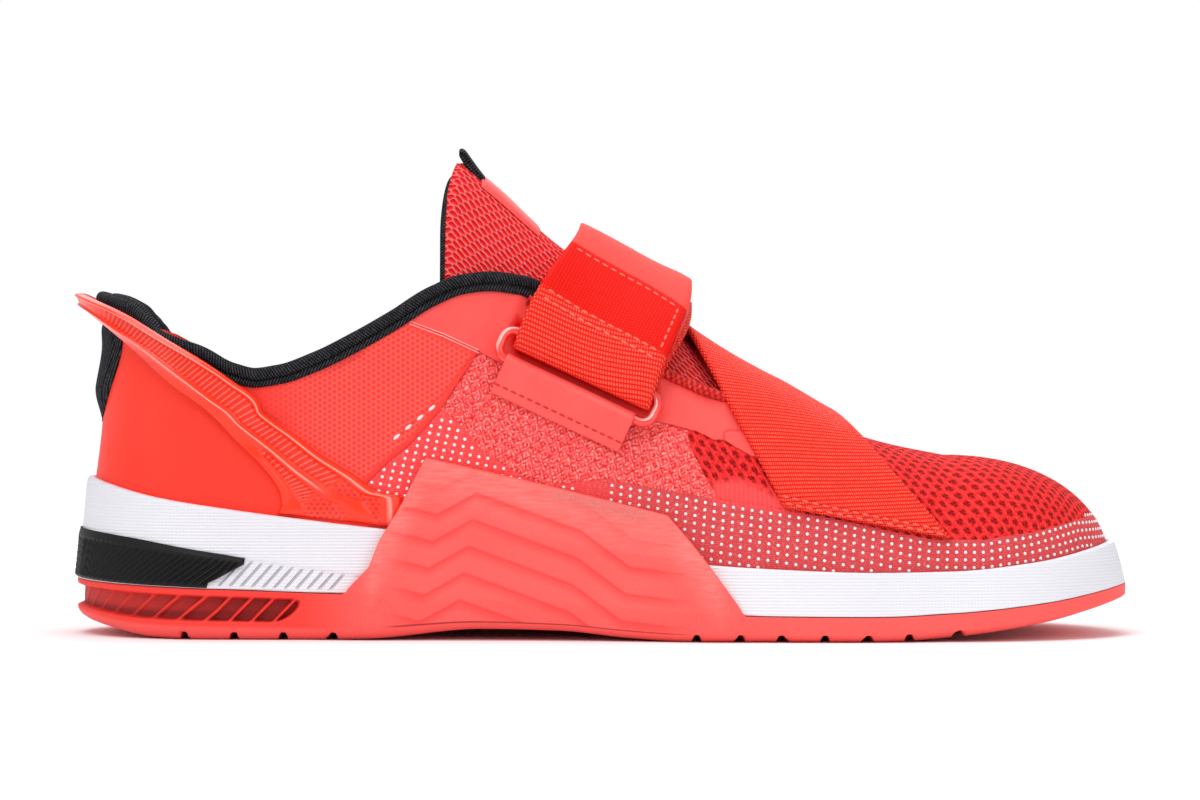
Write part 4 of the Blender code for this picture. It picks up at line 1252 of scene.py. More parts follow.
@dataclass
class Sole:
    """Foam midsole, rubber outsole with its side guard, heel clip and insole.

    Attributes:
        pitch: Spacing of the columns round the foot.
        fine: Spacing of the columns round the heel, where the gills are.
        heel_end: Edge place where the heel's columns end.
        rib_span: Where the foam's slanted ribs start and end along the foot.
        zigzag: First stepped line across the guard, in x and z.
        terrace: Drop from one stepped line to the next.
        clip_edge: Upper and lower edge of the heel clip: share of its length, upper x and z, lower x and z.
        clip_pitch: Spacing of the clip's ribs.
        bars: Places of the tread's grooves along the foot, and how far each row of them leans.
        groove: Depth of the tread's grooves.
        gill: Spacing and depth of the gills at the heel.
    """

    pitch: float = 0.95
    fine: float = 0.42
    heel_end: float = 76.0
    rib_span: tuple[float, float] = (38.5, 72.0)
    zigzag: Sections = Sections(
        "x z", ((84, 39.4), (95.3, 37.6), (101.2, 36), (111.5, 42.2), (142.6, 31.6), (158, 21.6), (172, 20))
    )
    terrace: float = 7.5
    clip_edge: Sections = Sections(
        "t up_x up_z low_x low_z",
        ((0, 1.5, 30.4, 1.5, 16.3), (0.35, 16, 28.6, 14, 15.7), (0.7, 32, 25.6, 26, 15.2),
         (1, 46, 23.2, 35.6, 14.8)),
    )
    bars: tuple[tuple[tuple[float, ...], float], ...] = (
        ((26, 40, 54, 68), 6), ((176, 188, 200, 212, 224, 236, 250), -7),
    )
    clip_pitch: float = 2.05
    groove: float = 2.2
    gill: tuple[float, float] = (6.2, 2.4)

    def columns(self) -> tuple[Field, Field, Field]:
        """Places, sides and running distance of the columns round the foot, closed and finest at the heel.

        Returns:
            The places, the sides and the distances.
        """
        rest = round((LAST.u_tip - self.heel_end) / self.pitch)
        half = np.concatenate((np.arange(0.0, self.heel_end, self.fine),
                               np.linspace(self.heel_end, LAST.u_tip, rest)))
        u = np.concatenate((half, half[-2::-1]))
        side = np.where(np.arange(len(u)) < len(half), -1.0, 1.0)
        return u, side, np.where(side < 0, u, 2 * LAST.u_tip - u)

    def build(self) -> None:
        """Make the pieces of the sole from the floor up."""
        self.outsole()
        self.foam()
        self.heel_clip()
        self.insole()

    def tread(self, u: Field, side: Field) -> tuple[Field, Field]:
        """Underside of the outsole.

        Args:
            u: Edge place of each column.
            side: Side of each column.

        Returns:
            Rows of points from the spine out to the bevelled edge, and the depth of the grooves at the edge.
        """
        ground = LAST.sole.at("ground", LAST.along(u))
        spine, reach = LAST.feather(u, side, LAST.rubber_grow(u, ground) - 4.0)
        rows = spine[None] + reach[None] * np.linspace(0, 1, 27)[:, None, None]
        cut = np.zeros(rows.shape[:2])
        for places, slant in self.bars:
            for place in places:
                off = np.abs(rows[..., 0] - place - slant * (1 - np.abs(rows[..., 1]) / 70.0))
                cut = np.maximum(cut, 1 - ease(off, 0.7, 1.5))
        rows[..., 2] = LAST.sole.at("ground", rows[..., 0]) + self.groove * cut
        return rows, self.groove * cut[-1]

    def gills(self, u: Field, z: Field, base: Field, split: Field) -> tuple[Field, Field]:
        """Recess along the heel's side.

        Args:
            u: Edge places.
            z: Heights.
            base: Height where the side starts, for each column.
            split: Height of the outsole's top, for each column.

        Returns:
            How far each point is sunk, from 0 to 1, and how much painted shade it gets.
        """
        centre, half = mix(base, split, 0.46), 0.34 * (split - base)
        end = 74.0 + 0.9 * (z - centre)
        inside = 1 - ease(np.hypot(np.maximum(u - end + 3.0, 0.0), np.abs(z - centre)) - half, -0.7, 0.5)
        run = (u - 0.95 * (z - centre)) / self.gill[0]
        slat = np.abs(run % 1.0 - 0.5) * 2
        fin = (1 - ease(slat, 0.06, 0.30)) * mix(0.25, 1, ease(u, 26, 54))
        sunk = inside * (1 - 0.72 * fin)
        # Painted shade in the gills: deeper towards the front and off the fins; the last part adds more
        # towards the bottom.
        shade = sunk * mix(0.55, 0.95, ease(u, 20, 66)) * (1 - 0.85 * fin)
        return sunk, shade + 0.4 * sunk * ease(centre - z, 0, 2.5)

    def outsole(self) -> None:
        """Rubber outsole: tread below, bevelled edge, heel gills, and the stepped guard up the flank."""
        u, side, around = self.columns()
        x = LAST.along(u)
        ground, split = LAST.sole.at("ground", x), LAST.sole.at("split", x) - GAP
        base = mix(ground, split, 0.30)
        wrapped = (x > 74.0) & (x < 187.0)
        top = np.where(wrapped, np.maximum(LAST.wrap.at("top", x, straight=True), split), split)
        z = mix(base[None], top[None], np.linspace(0, 1, 46)[:, None])
        sunk, shade = self.gills(u[None], z, base[None], split[None])
        grow = LAST.rubber_grow(u[None], z) - self.gill[1] * sunk
        line = self.zigzag.at("z", x[None] + 0.16 * (40 - z), straight=True)
        face = ease(top - split, 1, 6) * ease(x, 84, 94) * (1 - ease(x, 160, 176))
        under = top[None] - z
        scuff = (ease(x[None], 126, 136) * (1 - ease(x[None], 156, 168))
                 * (1 - ease(under, 1, 8)))
        # Where the finish paints light along the guard's top: full just under it, gone 17 mm below.
        dust = (1 - ease(under, 2, 17)) * ease(top - split, 4, 12)[None]
        notes = {"scuff": scuff, "dust": dust, "hollow": np.clip(shade, 0, 1),
                 "terrace": (line - z) / self.terrace, "face": face[None] * ease(top[None] - z, 0.5, 4),
                 "lip": np.broadcast_to((1 - ease(x, 58, 84))[None], z.shape)}
        below, notch = self.tread(u, side)
        bevel_z = np.stack([np.maximum(mix(ground, split, f), ground + notch) for f in (0.05, 0.13, 0.22)])
        bevel_grow = np.stack([LAST.rubber_grow(u, ground) - back for back in (2.6, 1.2, 0.35)])
        lift = ease(top - split, 0, 2)
        over = ((0.42, -0.18), (0.62, -0.55), (0.62, -1.3), (0.3, -1.9), (-0.6, -2.2))
        crest_z = np.stack([top + rise * lift for rise, _ in over])
        crest_grow = np.stack([LAST.rubber_grow(u, top) + back for _, back in over])
        inner_z = mix((top - 1.2 * lift)[None], split[None], np.linspace(0, 1, 5)[:, None])
        inner_grow = np.minimum(LAST.foam_grow(u[None], inner_z) + 0.6, crest_grow[-1:])
        rows = ((bevel_z, bevel_grow), (z, grow), (crest_z, crest_grow), (inner_z, inner_grow))
        walls = [LAST.at_height(u[None], side[None], height, out) for height, out in rows]
        spine = LAST.feather(u, side, 0.0)[0]
        spine[:, 2] = LAST.sole.at("split", spine[:, 0]) - GAP
        points = np.concatenate((below, *walls, spine[None]))
        before, after = len(below) + len(bevel_z), len(crest_z) + len(inner_z) + 1
        for name, values in notes.items():
            notes[name] = np.pad(values, ((before, after), (0, 0)), mode="constant")
        notes["terrace"][-after:] = notes["terrace"][:before] = -3.0
        flank = np.stack(np.broadcast_arrays(around[None], points[..., 2]), -1)
        piece = Mould.grid("outsole_rubber", points, {"flank": flank}, notes, weld=True)
        Mould.close(piece)
        MouldedRubber().dress(piece)
        Shoe.keep(piece, "outsole", "outsole")

    def foam(self) -> None:
        """Foam cup: flared side with slanted ribs at the heel, rounded top line, bed inside."""
        u, side, around = self.columns()
        x = LAST.along(u)
        rim, split, bed = (LAST.sole.at(name, x) for name in ("rim", "split", "bed"))
        edge = LAST.sole.at("edge", x)
        level = np.linspace(0, 1, 34)[:, None]
        z = mix(split[None], (rim - 0.9)[None], level)
        grow = LAST.foam_grow(u[None], z)
        start, end = self.rib_span
        run = x[None] - 0.9 * (z - 15.4)
        inside = ease(run, start - 2.0, start) * (1 - ease(run, end, end + 1.5))
        high = mix(23.4, 17.6, np.clip((x[None] - start) / (end - start + 8.0), 0, 1))
        belt = ease(z, split[None] + 0.6, split[None] + 1.4) * (1 - ease(z, high - 0.5, high + 0.3))
        groove = inside * belt
        low = (ease(x[None], 34, 42) * (1 - ease(x[None], 84, 90))
               * (1 - ease(z, high + 0.2, high + 0.9)))
        grow = grow - 0.35 * low
        crest = ((-0.55, -0.10), (-0.25, -0.35), (-0.06, -0.8), (0.0, -1.3))
        crest_z = np.stack([rim + dz for dz, _ in crest])
        crest_grow = np.stack([LAST.foam_grow(u, rim - 0.9) + g * edge / 3.0 for _, g in crest])
        cup = np.linspace(0, 1, 4)[:, None]
        cup_z = mix((rim - 0.2)[None], (bed - GAP)[None], cup)
        z, grow = np.concatenate((z, crest_z, cup_z)), np.concatenate((grow, crest_grow, 0 * cup_z + GAP))
        points = LAST.at_height(u[None], side[None], z, grow)
        spine = LAST.feather(u, side, 0.0)[0]
        below, bedded = spine.copy(), spine.copy()
        below[:, 2] = LAST.sole.at("split", spine[:, 0])
        bedded[:, 2] = LAST.sole.at("bed", spine[:, 0]) - GAP
        points = np.concatenate((below[None], points, bedded[None]))
        z = np.concatenate((below[None, :, 2], z, bedded[None, :, 2]))
        flank = np.stack(np.broadcast_arrays(around[None], z), -1)
        groove = np.pad(groove, ((1, len(z) - len(groove) - 1), (0, 0)))
        piece = Mould.grid("midsole_foam", points, {"flank": flank}, {"groove": groove}, weld=True)
        Mould.close(piece)
        FoamSkin().dress(piece)
        Shoe.keep(piece, "midsole", "midsole")

    def heel_clip(self) -> None:
        """Black clip round the back of the foam: slanted ribs under a plain bevelled strip."""
        t = np.linspace(-1, 1, 420)
        side = np.where(t < 0, -1, 1)[None]
        share = np.linspace(0, 1, 30)[:, None]
        span = np.abs(t)[None]
        bent = mix(share, np.interp(share, (0.0, 0.17, 0.79, 1.0), (0.0, 0.04, 0.97, 1.0)),
                   ease(span, 0.9, 1))
        x = mix(self.clip_edge.at("low_x", span), self.clip_edge.at("up_x", span), bent)
        z = mix(self.clip_edge.at("low_z", span), self.clip_edge.at("up_z", span), share)
        u = LAST.place(x) * np.clip(span / 0.04, 0, 1)
        run = u - 1.1 * (z - 16.0)
        rib = np.abs((run / self.clip_pitch) % 1.0 - 0.5) * 2
        field_mask = (ease(share, 0.04, 0.10) * (1 - ease(share, 0.80, 0.85))
                      * (1 - ease(span, 0.965, 0.985)))
        lift = 1 - 0.65 * field_mask * ease(rib, 0.25, 0.75) - 0.35 * ease(share, 0.84, 1)
        edge = np.minimum(ease(share, -0.02, 0.05), ease(1 - span, -0.005, 0.012))
        grow = LAST.foam_grow(u, z) + lift * edge
        top = LAST.at_height(u, side, z, grow)
        under = LAST.at_height(u, side, z, LAST.foam_grow(u, z) - 1.8)
        piece = Mould.slab("heel_clip_ribbed", top, under, inside=(60, 0, 24))
        BlackPlastic().dress(piece)
        Shoe.keep(piece, "heel_clip", "heel_clip")

    def insole(self) -> None:
        """Insole: the solid's own shape, dressed in black cloth."""
        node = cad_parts["insole"]
        node.data.materials.clear()
        LiningCloth("insole_cloth").dress(node)


class RibKnit(Finish):
    """Rib-knit tape or cord: narrow slanted ribs across it, 0.85 mm apart on the black tape, with a painted
    highlight on their crests.
    """

    def __init__(self, chart: str, name: str = "black_rib_knit", dark: str = "010102", light: str = "5E5E66",
                 size: tuple[float, float] = (0.85, 0.62)) -> None:
        """Build the finish on one of the piece's charts, between two tones, with ribs of a size.

        Args:
            chart: The UV map.
            name: Name of the knit.
            dark: Tone between ribs.
            light: Tone of their crests, a painted highlight.
            size: Spacing along and across.
        """
        super().__init__(name, rough=0.75, sheen=0.0, ior=1.22)
        a, b = self.cell(self.add("UVMap", uv_map=chart), *size, 0.32, 0.0)
        rib = self.ramp(self.length(a, b, 2.0, 0.55), 0.15, 0.85, 1, 0)
        place = self.add("TexCoord", out="Object")
        fleck = self.ramp(self.noise(place, 900, 3), 0.36, 0.66, 0.35, 1)
        # Painted highlight on the rib crests, broken up by noise.
        lit = self.times(self.times(rib, fleck), 0.75)
        self.paint(self.blend(lit, dark, light))
        self.relief(rib, 0.4)


@dataclass
class Collar:
    """Black knit roll along the collar, the piping below it, and the pad down the back of the heel.

    Attributes:
        radius: Radius of the roll.
        seat: Height of the roll's middle over the upper's edge.
        ends: Where the roll stops along the foot, under the instep strap.
        piping: Heights of the lower and upper edge of the piping and its sewn strip over the upper's edge.
        hump: How far the padding inside the heel's edge rises over the roll, by x.
        sunk: How much lower the padding lies on the outer side.
        lined: Where the padding turns red on the inner side, and where it ends.
        padding: Radius of the black and of the red padding.
        inset: How far the padding stands off the last, below zero inside it.
        pad: Height and half width of the heel pad by section.
    """

    radius: float = 1.85
    seat: float = 4.1
    ends: float = 130.0
    piping: tuple[float, float] = (0.3, 3.5)
    hump: Sections = Sections(
        "x rise",
        (
            (1.5, -0.9), (3, -0.6), (5, -0.35), (7, -0.5), (8.6, -0.75), (11, -1.6), (14, -2), (15.5, -2.4),
            (17, -1.2), (18.5, -0.65), (20, -0.5), (22, -0.1), (24, -0.3), (26, -0.5), (28, -0.8), (31, -1.2),
        ),
    )
    sunk: float = 0.8
    lined: tuple[float, float] = (17.0, 31.0)
    padding: tuple[float, float] = (2.2, 2.05)
    inset: float = -3.3
    pad: Sections = Sections(
        "z half", ((60.5, 1), (62.5, 4.6), (66, 8.4), (74, 13.6), (82, 16.6), (89.5, 18))
    )

    def stations(self, count: int) -> tuple[Field, Field]:
        """Places and sides from the inner end round the heel to the outer end."""
        half = np.linspace(0, float(LAST.place(self.ends)), count)
        return np.concatenate((half[:0:-1], half)), np.concatenate((-np.ones(count - 1), np.ones(count)))

    def build(self) -> None:
        """Make the roll, its piping and the heel pad."""
        u, side = self.stations(190)
        top = LAST.collar_top(u, side)
        slope = (LAST.collar_top(u + 1.0, side) - LAST.collar_top(np.maximum(u - 1.0, 0.0), side)) / 2
        steep = np.hypot(1.0, slope)
        path = LAST.at_height(u, side, top + self.seat * steep, 0.1)
        roll = Mould.cord("collar_roll", path, self.radius, 20)
        RibKnit("thread").dress(roll)
        Shoe.keep(roll, "collar_binding", "collar_binding")
        x = LAST.along(u)
        high = top + self.seat * steep + self.hump.at("rise", x) - self.sunk * ease(x, 9, 13) * (side > 0)
        back, inner = x < self.lined[1], side < 0
        black = RibKnit("thread", "black_heel_roll")
        red = RibKnit("thread", "red_lining_knit", "C8201C", "F4443C")
        for name, part, radius, finish in (
            ("collar_heel_roll", back & ~(inner & (x > self.lined[0])), self.padding[0], black),
            ("collar_lining_edge", back & inner & (x > self.lined[0] - 1.5), self.padding[1], red),
        ):
            path = LAST.at_height(u[part], side[part], high[part], self.inset)
            padding = Mould.cord(name, path, radius, 18)
            finish.dress(padding)
            Shoe.keep(padding, "collar_binding")
        share = np.linspace(0, 1, 21)[:, None]
        z = top[None] + mix(*self.piping, share) * steep[None]
        grow = 0.5 + 1.2 * np.sqrt(np.clip(1 - (share / 0.3 - 1.0) ** 2, 0, 1))
        chart = np.stack(np.broadcast_arrays(np.where(side < 0, -u, u)[None], z), -1)
        tape = Mould.grid("collar_piping", LAST.at_height(u[None], side[None], z, grow), {"thread": chart},
                          inside=(70, 0, 60))
        Mould.thicken(tape, 0.5)
        RibKnit("thread", "black_piping").dress(tape)
        Shoe.keep(tape, "collar_binding")
        self.heel_pad()

    def heel_pad(self) -> None:
        """Padded black knit down the back of the heel, hollowed over the tendon."""
        z = np.linspace(self.pad.rows[0][0], self.pad.rows[-1][0], 60)[:, None]
        spread = np.linspace(-1, 1, 61)[None]
        u = np.abs(spread) * self.pad.at("half", z)
        side = np.where(spread < 0, -1, 1)
        crown = (np.clip(1 - spread**2, 0, 1) ** 0.6
                 * np.clip(1 - ((z - 75.5) / 14.0) ** 8, 0, 1) ** 0.5)
        crown = crown * ease(z, 59, 71)
        seam = bump(np.abs(spread), 0.80, 0.035)
        top = LAST.at_height(u, side, z, 0.7 + 3.0 * crown - 0.6 * seam)
        under = LAST.at_height(u, side, z, 0.5)
        chart = np.stack(np.broadcast_arrays(spread * self.pad.at("half", z), z), -1)
        pad = Mould.slab("heel_pad", top, under, {"thread": chart}, inside=(30, 0, 75))
        RibKnit("thread", "black_pad_knit").dress(pad)
        Shoe.keep(pad, "heel_panel", "heel_panel")


class ClearedTpu(Finish):
    """Injection-moulded TPU, slightly see-through: orange-red under a hard glossy face, pinker where it is
    thin, with narrow moulded ribs across its troughs and small pits in its foot, painted highlights along
    its rims, middle ridge and rib crests, and painted shade in the rib grooves."""

    def __init__(self) -> None:
        """Build the finish."""
        super().__init__("moulded_tpu", rough=0.26, coat=0.3, ior=1.4)
        place = self.add("TexCoord", out="Object")
        ribbed = self.note("ribbed")
        pierced = self.note("pierced")
        crest = self.note("crest")
        count = self.add("SeparateXYZ", self.add("UVMap", uv_map="band"))
        wave = self.math("COSINE", self.times(count, 2 * math.pi))
        groove = self.times(self.ramp(wave, -0.1, 0.75, 0, 1), ribbed)
        a, b = self.cell(self.add("UVMap", uv_map="side"), 1.75, 1.3, 0.5, 0.0)
        pit = self.times(self.ramp(self.length(a, b, 1.75, 1.6), 0.22, 0.42, 1, 0), pierced)
        drift = self.noise(place, 50, 2)
        body = self.blend(drift, "FB2C06", "FF360E")
        body = self.blend(self.math("ADD", ribbed, pierced, use_clamp=True), body, "FF3826")
        # Painted highlight along the upper rim and the middle ridge.
        body = self.blend(self.times(crest, 0.66), body, "FFCCBA")
        # Painted highlight on the rib crests, and painted shade in the rib grooves.
        ridge = self.times(self.ramp(wave, -1, -0.35, 0.55, 0), ribbed)
        body = self.blend(ridge, body, "FF7C60")
        body = self.blend(self.times(groove, 0.6), body, "E61C0A")
        self.paint(self.blend(pit, body, "E8301C"))
        sunk = self.scaled(groove, 0.22, self.times(pit, 0.25))
        self.relief(self.times(sunk, -1), 1.0)


@dataclass
class HeelBrace:
    """Moulded brace from the foam up and round the heel: raised rims, ribbed troughs, pierced foot.

    Attributes:
        edge: Share of its length, upper x and z, lower x and z, place of the middle ridge across, and lift
            off the upper.
        thick: Thickness of the band.
        long: Length of one half of the band.
        pitch: Spacing of the ribs at the back and at the foot.
        seam: Two points in x and z of the line where the ribs stop and the pierced foot starts.
    """

    edge: Sections = Sections(
        "t up_x up_z low_x low_z ridge lift",
        (
            (0, 1.5, 97.4, 1.5, 92.2, 0.4, 5.4), (0.12, 11.7, 92.4, 8.6, 86.4, 0.3, 5),
            (0.24, 22.2, 86, 16.1, 80.3, 0.33, 4.4), (0.38, 33.7, 79.4, 25.6, 72.2, 0.31, 3.8),
            (0.5, 43.8, 72.4, 34.5, 65.3, 0.26, 2.8), (0.545, 48.3, 69.4, 37.6, 62.3, 0.29, 2.3),
            (0.565, 50, 67.2, 38.9, 60.9, 0.3, 2.1), (0.585, 50.8, 64.9, 40.2, 59.5, 0.32, 1.9),
            (0.62, 53.4, 62.6, 42.5, 57, 0.35, 1.5), (0.7, 59.8, 58.2, 48.6, 51, 0.39, 0.9),
            (0.78, 67.5, 52.4, 53.4, 45.2, 0.43, 0.6), (0.86, 76.6, 46.9, 55.6, 41, 0.47, 0.5),
            (0.93, 84.3, 41.8, 56, 38.2, 0.52, 0.4), (0.97, 90.2, 40.4, 55.6, 36.6, 0.56, 0.4),
            (1, 90.8, 31.4, 55, 35.6, 0.66, 0.4),
        ),
    )
    thick: float = 3.0
    long: float = 118.0
    pitch: tuple[float, float] = (1.45, 2.1)
    seam: tuple[tuple[float, float], tuple[float, float]] = ((55.7, 35.4), (74.6, 46.0))

    def lay(self, t: Field, share: Field) -> tuple[Field, Field, Field, Field]:
        """Place along the foot, side, height and lift of points on the band.

        Args:
            t: Place along the band, from -1 to 1.
            share: Place across it, 0 at the lower edge.

        Returns:
            The four values of each point.
        """
        span, side = np.abs(t), np.where(t < 0, -1, 1)
        up_x, low_x = self.edge.at("up_x", span), self.edge.at("low_x", span)
        drop = LAST.collar.at("drop", up_x) * (1 - ease(span, 0.4, 0.75)) * (side > 0)
        z = mix(self.edge.at("low_z", span), self.edge.at("up_z", span), share)
        return mix(low_x, up_x, share), side, z - drop, self.edge.at("lift", span)

    def build(self) -> None:
        """Make the band with its rims, troughs and thin foot."""
        t = np.linspace(-1, 1, 481)[None]
        share = np.linspace(0, 1, 54)[:, None]
        x, side, z, lift = self.lay(t, share)
        span = np.abs(t)
        ridge = self.edge.at("ridge", span)
        (x0, z0), (x1, z1) = self.seam
        beyond = ((z - z0) * (x1 - x0) - (x - x0) * (z1 - z0)) / math.hypot(x1 - x0, z1 - z0)
        low_part = ease(span, 0.66, 0.72)
        ribs_end = ease(beyond, 0.2, 0.8) * low_part + 1.0 - low_part
        trough = (ease(share, ridge + 0.08, ridge + 0.17) * (1 - ease(share, 0.79, 0.86))
                  * ease(span, 0.05, 0.12))
        second = ease(share, 0.17, 0.25) * (1 - ease(share, ridge - 0.13, ridge - 0.06)) * low_part
        ribbed = (trough + second) * ribs_end
        foot = (trough + second) * (1 - ease(beyond, -0.8, -0.2)) * low_part
        relief = (0.6 * bump(share, 0.90, 0.04) + 0.75 * bump(share, ridge, 0.05)
                  * (1 - 0.6 * ease(span, 0.84, 0.97)))
        relief = (relief - 0.75 * (trough + second) + 0.3 * bump(beyond, 0, 0.35) * (trough + second)
                  * low_part)
        relief = relief + 0.4 * bump(share, 0.08, 0.05) * low_part
        bevel = (1 - ease(share, 0, ridge)) * (1 - ease(span, 0.50, 0.70))
        body = self.thick - 0.6 - 1.3 * bevel - 0.9 * ease(span, 0.70, 0.92)
        rounded = np.clip(np.minimum(np.minimum(share, 1 - share) / 0.045, (1 - span) / 0.02), 0, 1)
        rounded = np.sqrt(np.clip(1 - (1 - rounded) ** 2, 0, 1))
        u = LAST.place(x)
        top = LAST.at_height(u, side, z, lift + 0.4 + (body - 0.4 + relief) * rounded)
        under = LAST.at_height(u, side, z, lift)
        grade = (self.pitch[1] - self.pitch[0]) / self.long
        count = np.log1p(grade * span * self.long / self.pitch[0]) / grade
        wide = np.hypot(self.edge.at("up_x", span) - self.edge.at("low_x", span),
                        self.edge.at("up_z", span) - self.edge.at("low_z", span))
        charts = {"band": np.stack(np.broadcast_arrays(count, share * wide), -1),
                  "side": np.stack(np.broadcast_arrays(x, z), -1)}
        # Where the finish paints its highlight: along the upper rim and the middle ridge.
        crest = bump(share, 0.90, 0.014) + bump(share, ridge, 0.016) * (1 - ease(span, 0.82, 0.92))
        notes = {"ribbed": ribbed, "pierced": foot, "crest": np.broadcast_to(crest, z.shape)}
        band = Mould.slab("heel_brace_band", top, under, charts, notes, inside=(60, 0, 60))
        ClearedTpu().dress(band)
        Shoe.keep(band, "heel_brace", "heel_brace")


def chart_of(points: Field) -> Field:
    """Chart of a grid of points: distance along its columns and its rows, measured from the middle.

    Args:
        points: Rows and columns of points.

    Returns:
        The chart, in millimetres.
    """
    along = np.linalg.norm(np.diff(points, axis=0), axis=-1)
    across = np.linalg.norm(np.diff(points, axis=1), axis=-1)
    run = np.concatenate((np.zeros((1, points.shape[1])), np.cumsum(along, 0)))
    side = np.concatenate((np.zeros((points.shape[0], 1)), np.cumsum(across, 1)), 1)
    return np.stack((run, side - side[:, points.shape[1] // 2][:, None]), -1)


def cut_size(points: Field) -> tuple[float, float]:
    """Width and length in metres that a band was cut to: its area over its middle line, and that line.

    Args:
        points: Rows and columns of points of the band's face.

    Returns:
        The width and the length.
    """
    area = np.linalg.norm(np.cross(np.diff(points, axis=1)[:-1], np.diff(points, axis=0)[:, :-1]),
                          axis=-1).sum()
    long = np.linalg.norm(np.diff(points[:, points.shape[1] // 2], axis=0), axis=1).sum()
    return float(area / long) * MM, float(long) * MM


class SpacerMesh(Finish):
    """Spacer mesh: a pink knit face with long sunk cells, 2.9 mm by 1.75 mm, with painted deep red shade in
    the cells.
    """

    def __init__(self) -> None:
        """Build the finish."""
        super().__init__("spacer_mesh", rough=0.72, sheen=0.0, ior=1.2)
        chart = self.add("UVMap", uv_map="mesh")
        place = self.add("TexCoord", out="Object")
        wander = self.noise(place, 330, 1, out="Color")
        chart = self.add("VectorMath", wander, (0.9, 0.9, 0.0), chart, operation="MULTIPLY_ADD")
        a, b = self.cell(chart, 2.9, 1.75, 0.5, 0.0)
        skew = self.scaled(a, 0.25, b)
        well = self.fade(self.length(a, skew, 1.85, 2.0), 0.56, 0.98, 1, 0)
        fibre = self.noise(place, 1800, 3)
        face = self.blend(fibre, "FF464A", "FF7E7C")
        # Painted shade in the sunk cells, darker towards one side of each.
        floor = self.blend(self.ramp(b, -0.3, 0.3, 0, 1), "FA1E24", "BE0008")
        colour = self.blend(well, face, floor)
        self.paint(colour)
        high = self.math("ADD", self.scaled(well, -0.85, 0.85), self.times(fibre, 0.2))
        self.relief(high, 0.6)


class SatinFilm(Finish):
    """Smooth satin film or coated tab: even red with a soft wide highlight."""

    def __init__(self, name: str, dark: str, light: str, rough: float = 0.42) -> None:
        """Build the finish between two tones.

        Args:
            name: Name of the film.
            dark: Its darker tone.
            light: Its lighter tone.
            rough: Roughness.
        """
        super().__init__(name, rough=rough)
        place = self.add("TexCoord", out="Object")
        lie = self.noise(place, 120, 3)
        grain = self.noise(place, 1600, 2)
        self.paint(self.blend(lie, dark, light))
        self.relief(grain, 0.05)


class Webbing(Finish):
    """Woven nylon webbing: rib rows across the strap, each a string of slanted beads with lit crests."""

    def __init__(self, name: str, size: tuple[float, float], pressed: bool = False) -> None:
        """Build the finish with beads of a size; pressed webbing has a flattened field and a smooth band.

        Args:
            name: Name of the webbing.
            size: Length of a bead and pitch of the rows.
            pressed: True for pressed webbing.
        """
        super().__init__(name, rough=0.55, ior=1.22)
        chart = self.add("UVMap", uv_map="weave")
        place = self.add("TexCoord", out="Object")
        fibre = self.noise(place, 2000, 3)
        a, b = self.cell(chart, *size, 0.5, 90.0)
        lean = self.math("WRAP", self.scaled(b, 0.55, a), 0.5, -0.5)
        row = self.fade(self.math("ABSOLUTE", b), 0.18, 0.5, 1, 0)
        bead = self.fade(self.math("ABSOLUTE", lean), 0.12, 0.5, 1, 0.25)
        rib = self.times(row, bead)
        # Painted highlight on the bead crests, and painted shade between the rows.
        lit = self.times(self.ramp(rib, 0.5, 0.95, 0, 0.75), self.ramp(fibre, 0.3, 0.65, 0.3, 1))
        body = self.blend(rib, "E20E06", "FF3420")
        colour = self.blend(lit, body, "FF7C66")
        height = rib
        if pressed:
            flat = self.note("pressed")
            turned = self.note("turned")
            c, d = self.cell(chart, 0.95, 0.95, 0.0, 90.0)
            knot = self.ramp(self.length(c, d, 1.8, 1.8), 0.25, 1, 1, 0)
            field_tone = self.blend(self.times(knot, fibre), "DC0400", "FF2C12")
            colour = self.blend(flat, colour, field_tone)
            height = self.add("Mix", flat, rib, self.scaled(knot, 0.38, 0.3))
            height = self.times(height, self.scaled(turned, -0.9, 1))
            rows = self.math("SINE", self.times(self.add("SeparateXYZ", chart), 9))
            # Painted light: the smooth turned band on top is lighter than the rest, with fine lines along it.
            smooth = self.blend(self.ramp(rows, -1, 1, 0, 1), "F23C36", "FF5C54")
            colour = self.blend(turned, colour, smooth)
        self.paint(colour)
        self.relief(height, 0.13 * size[1])


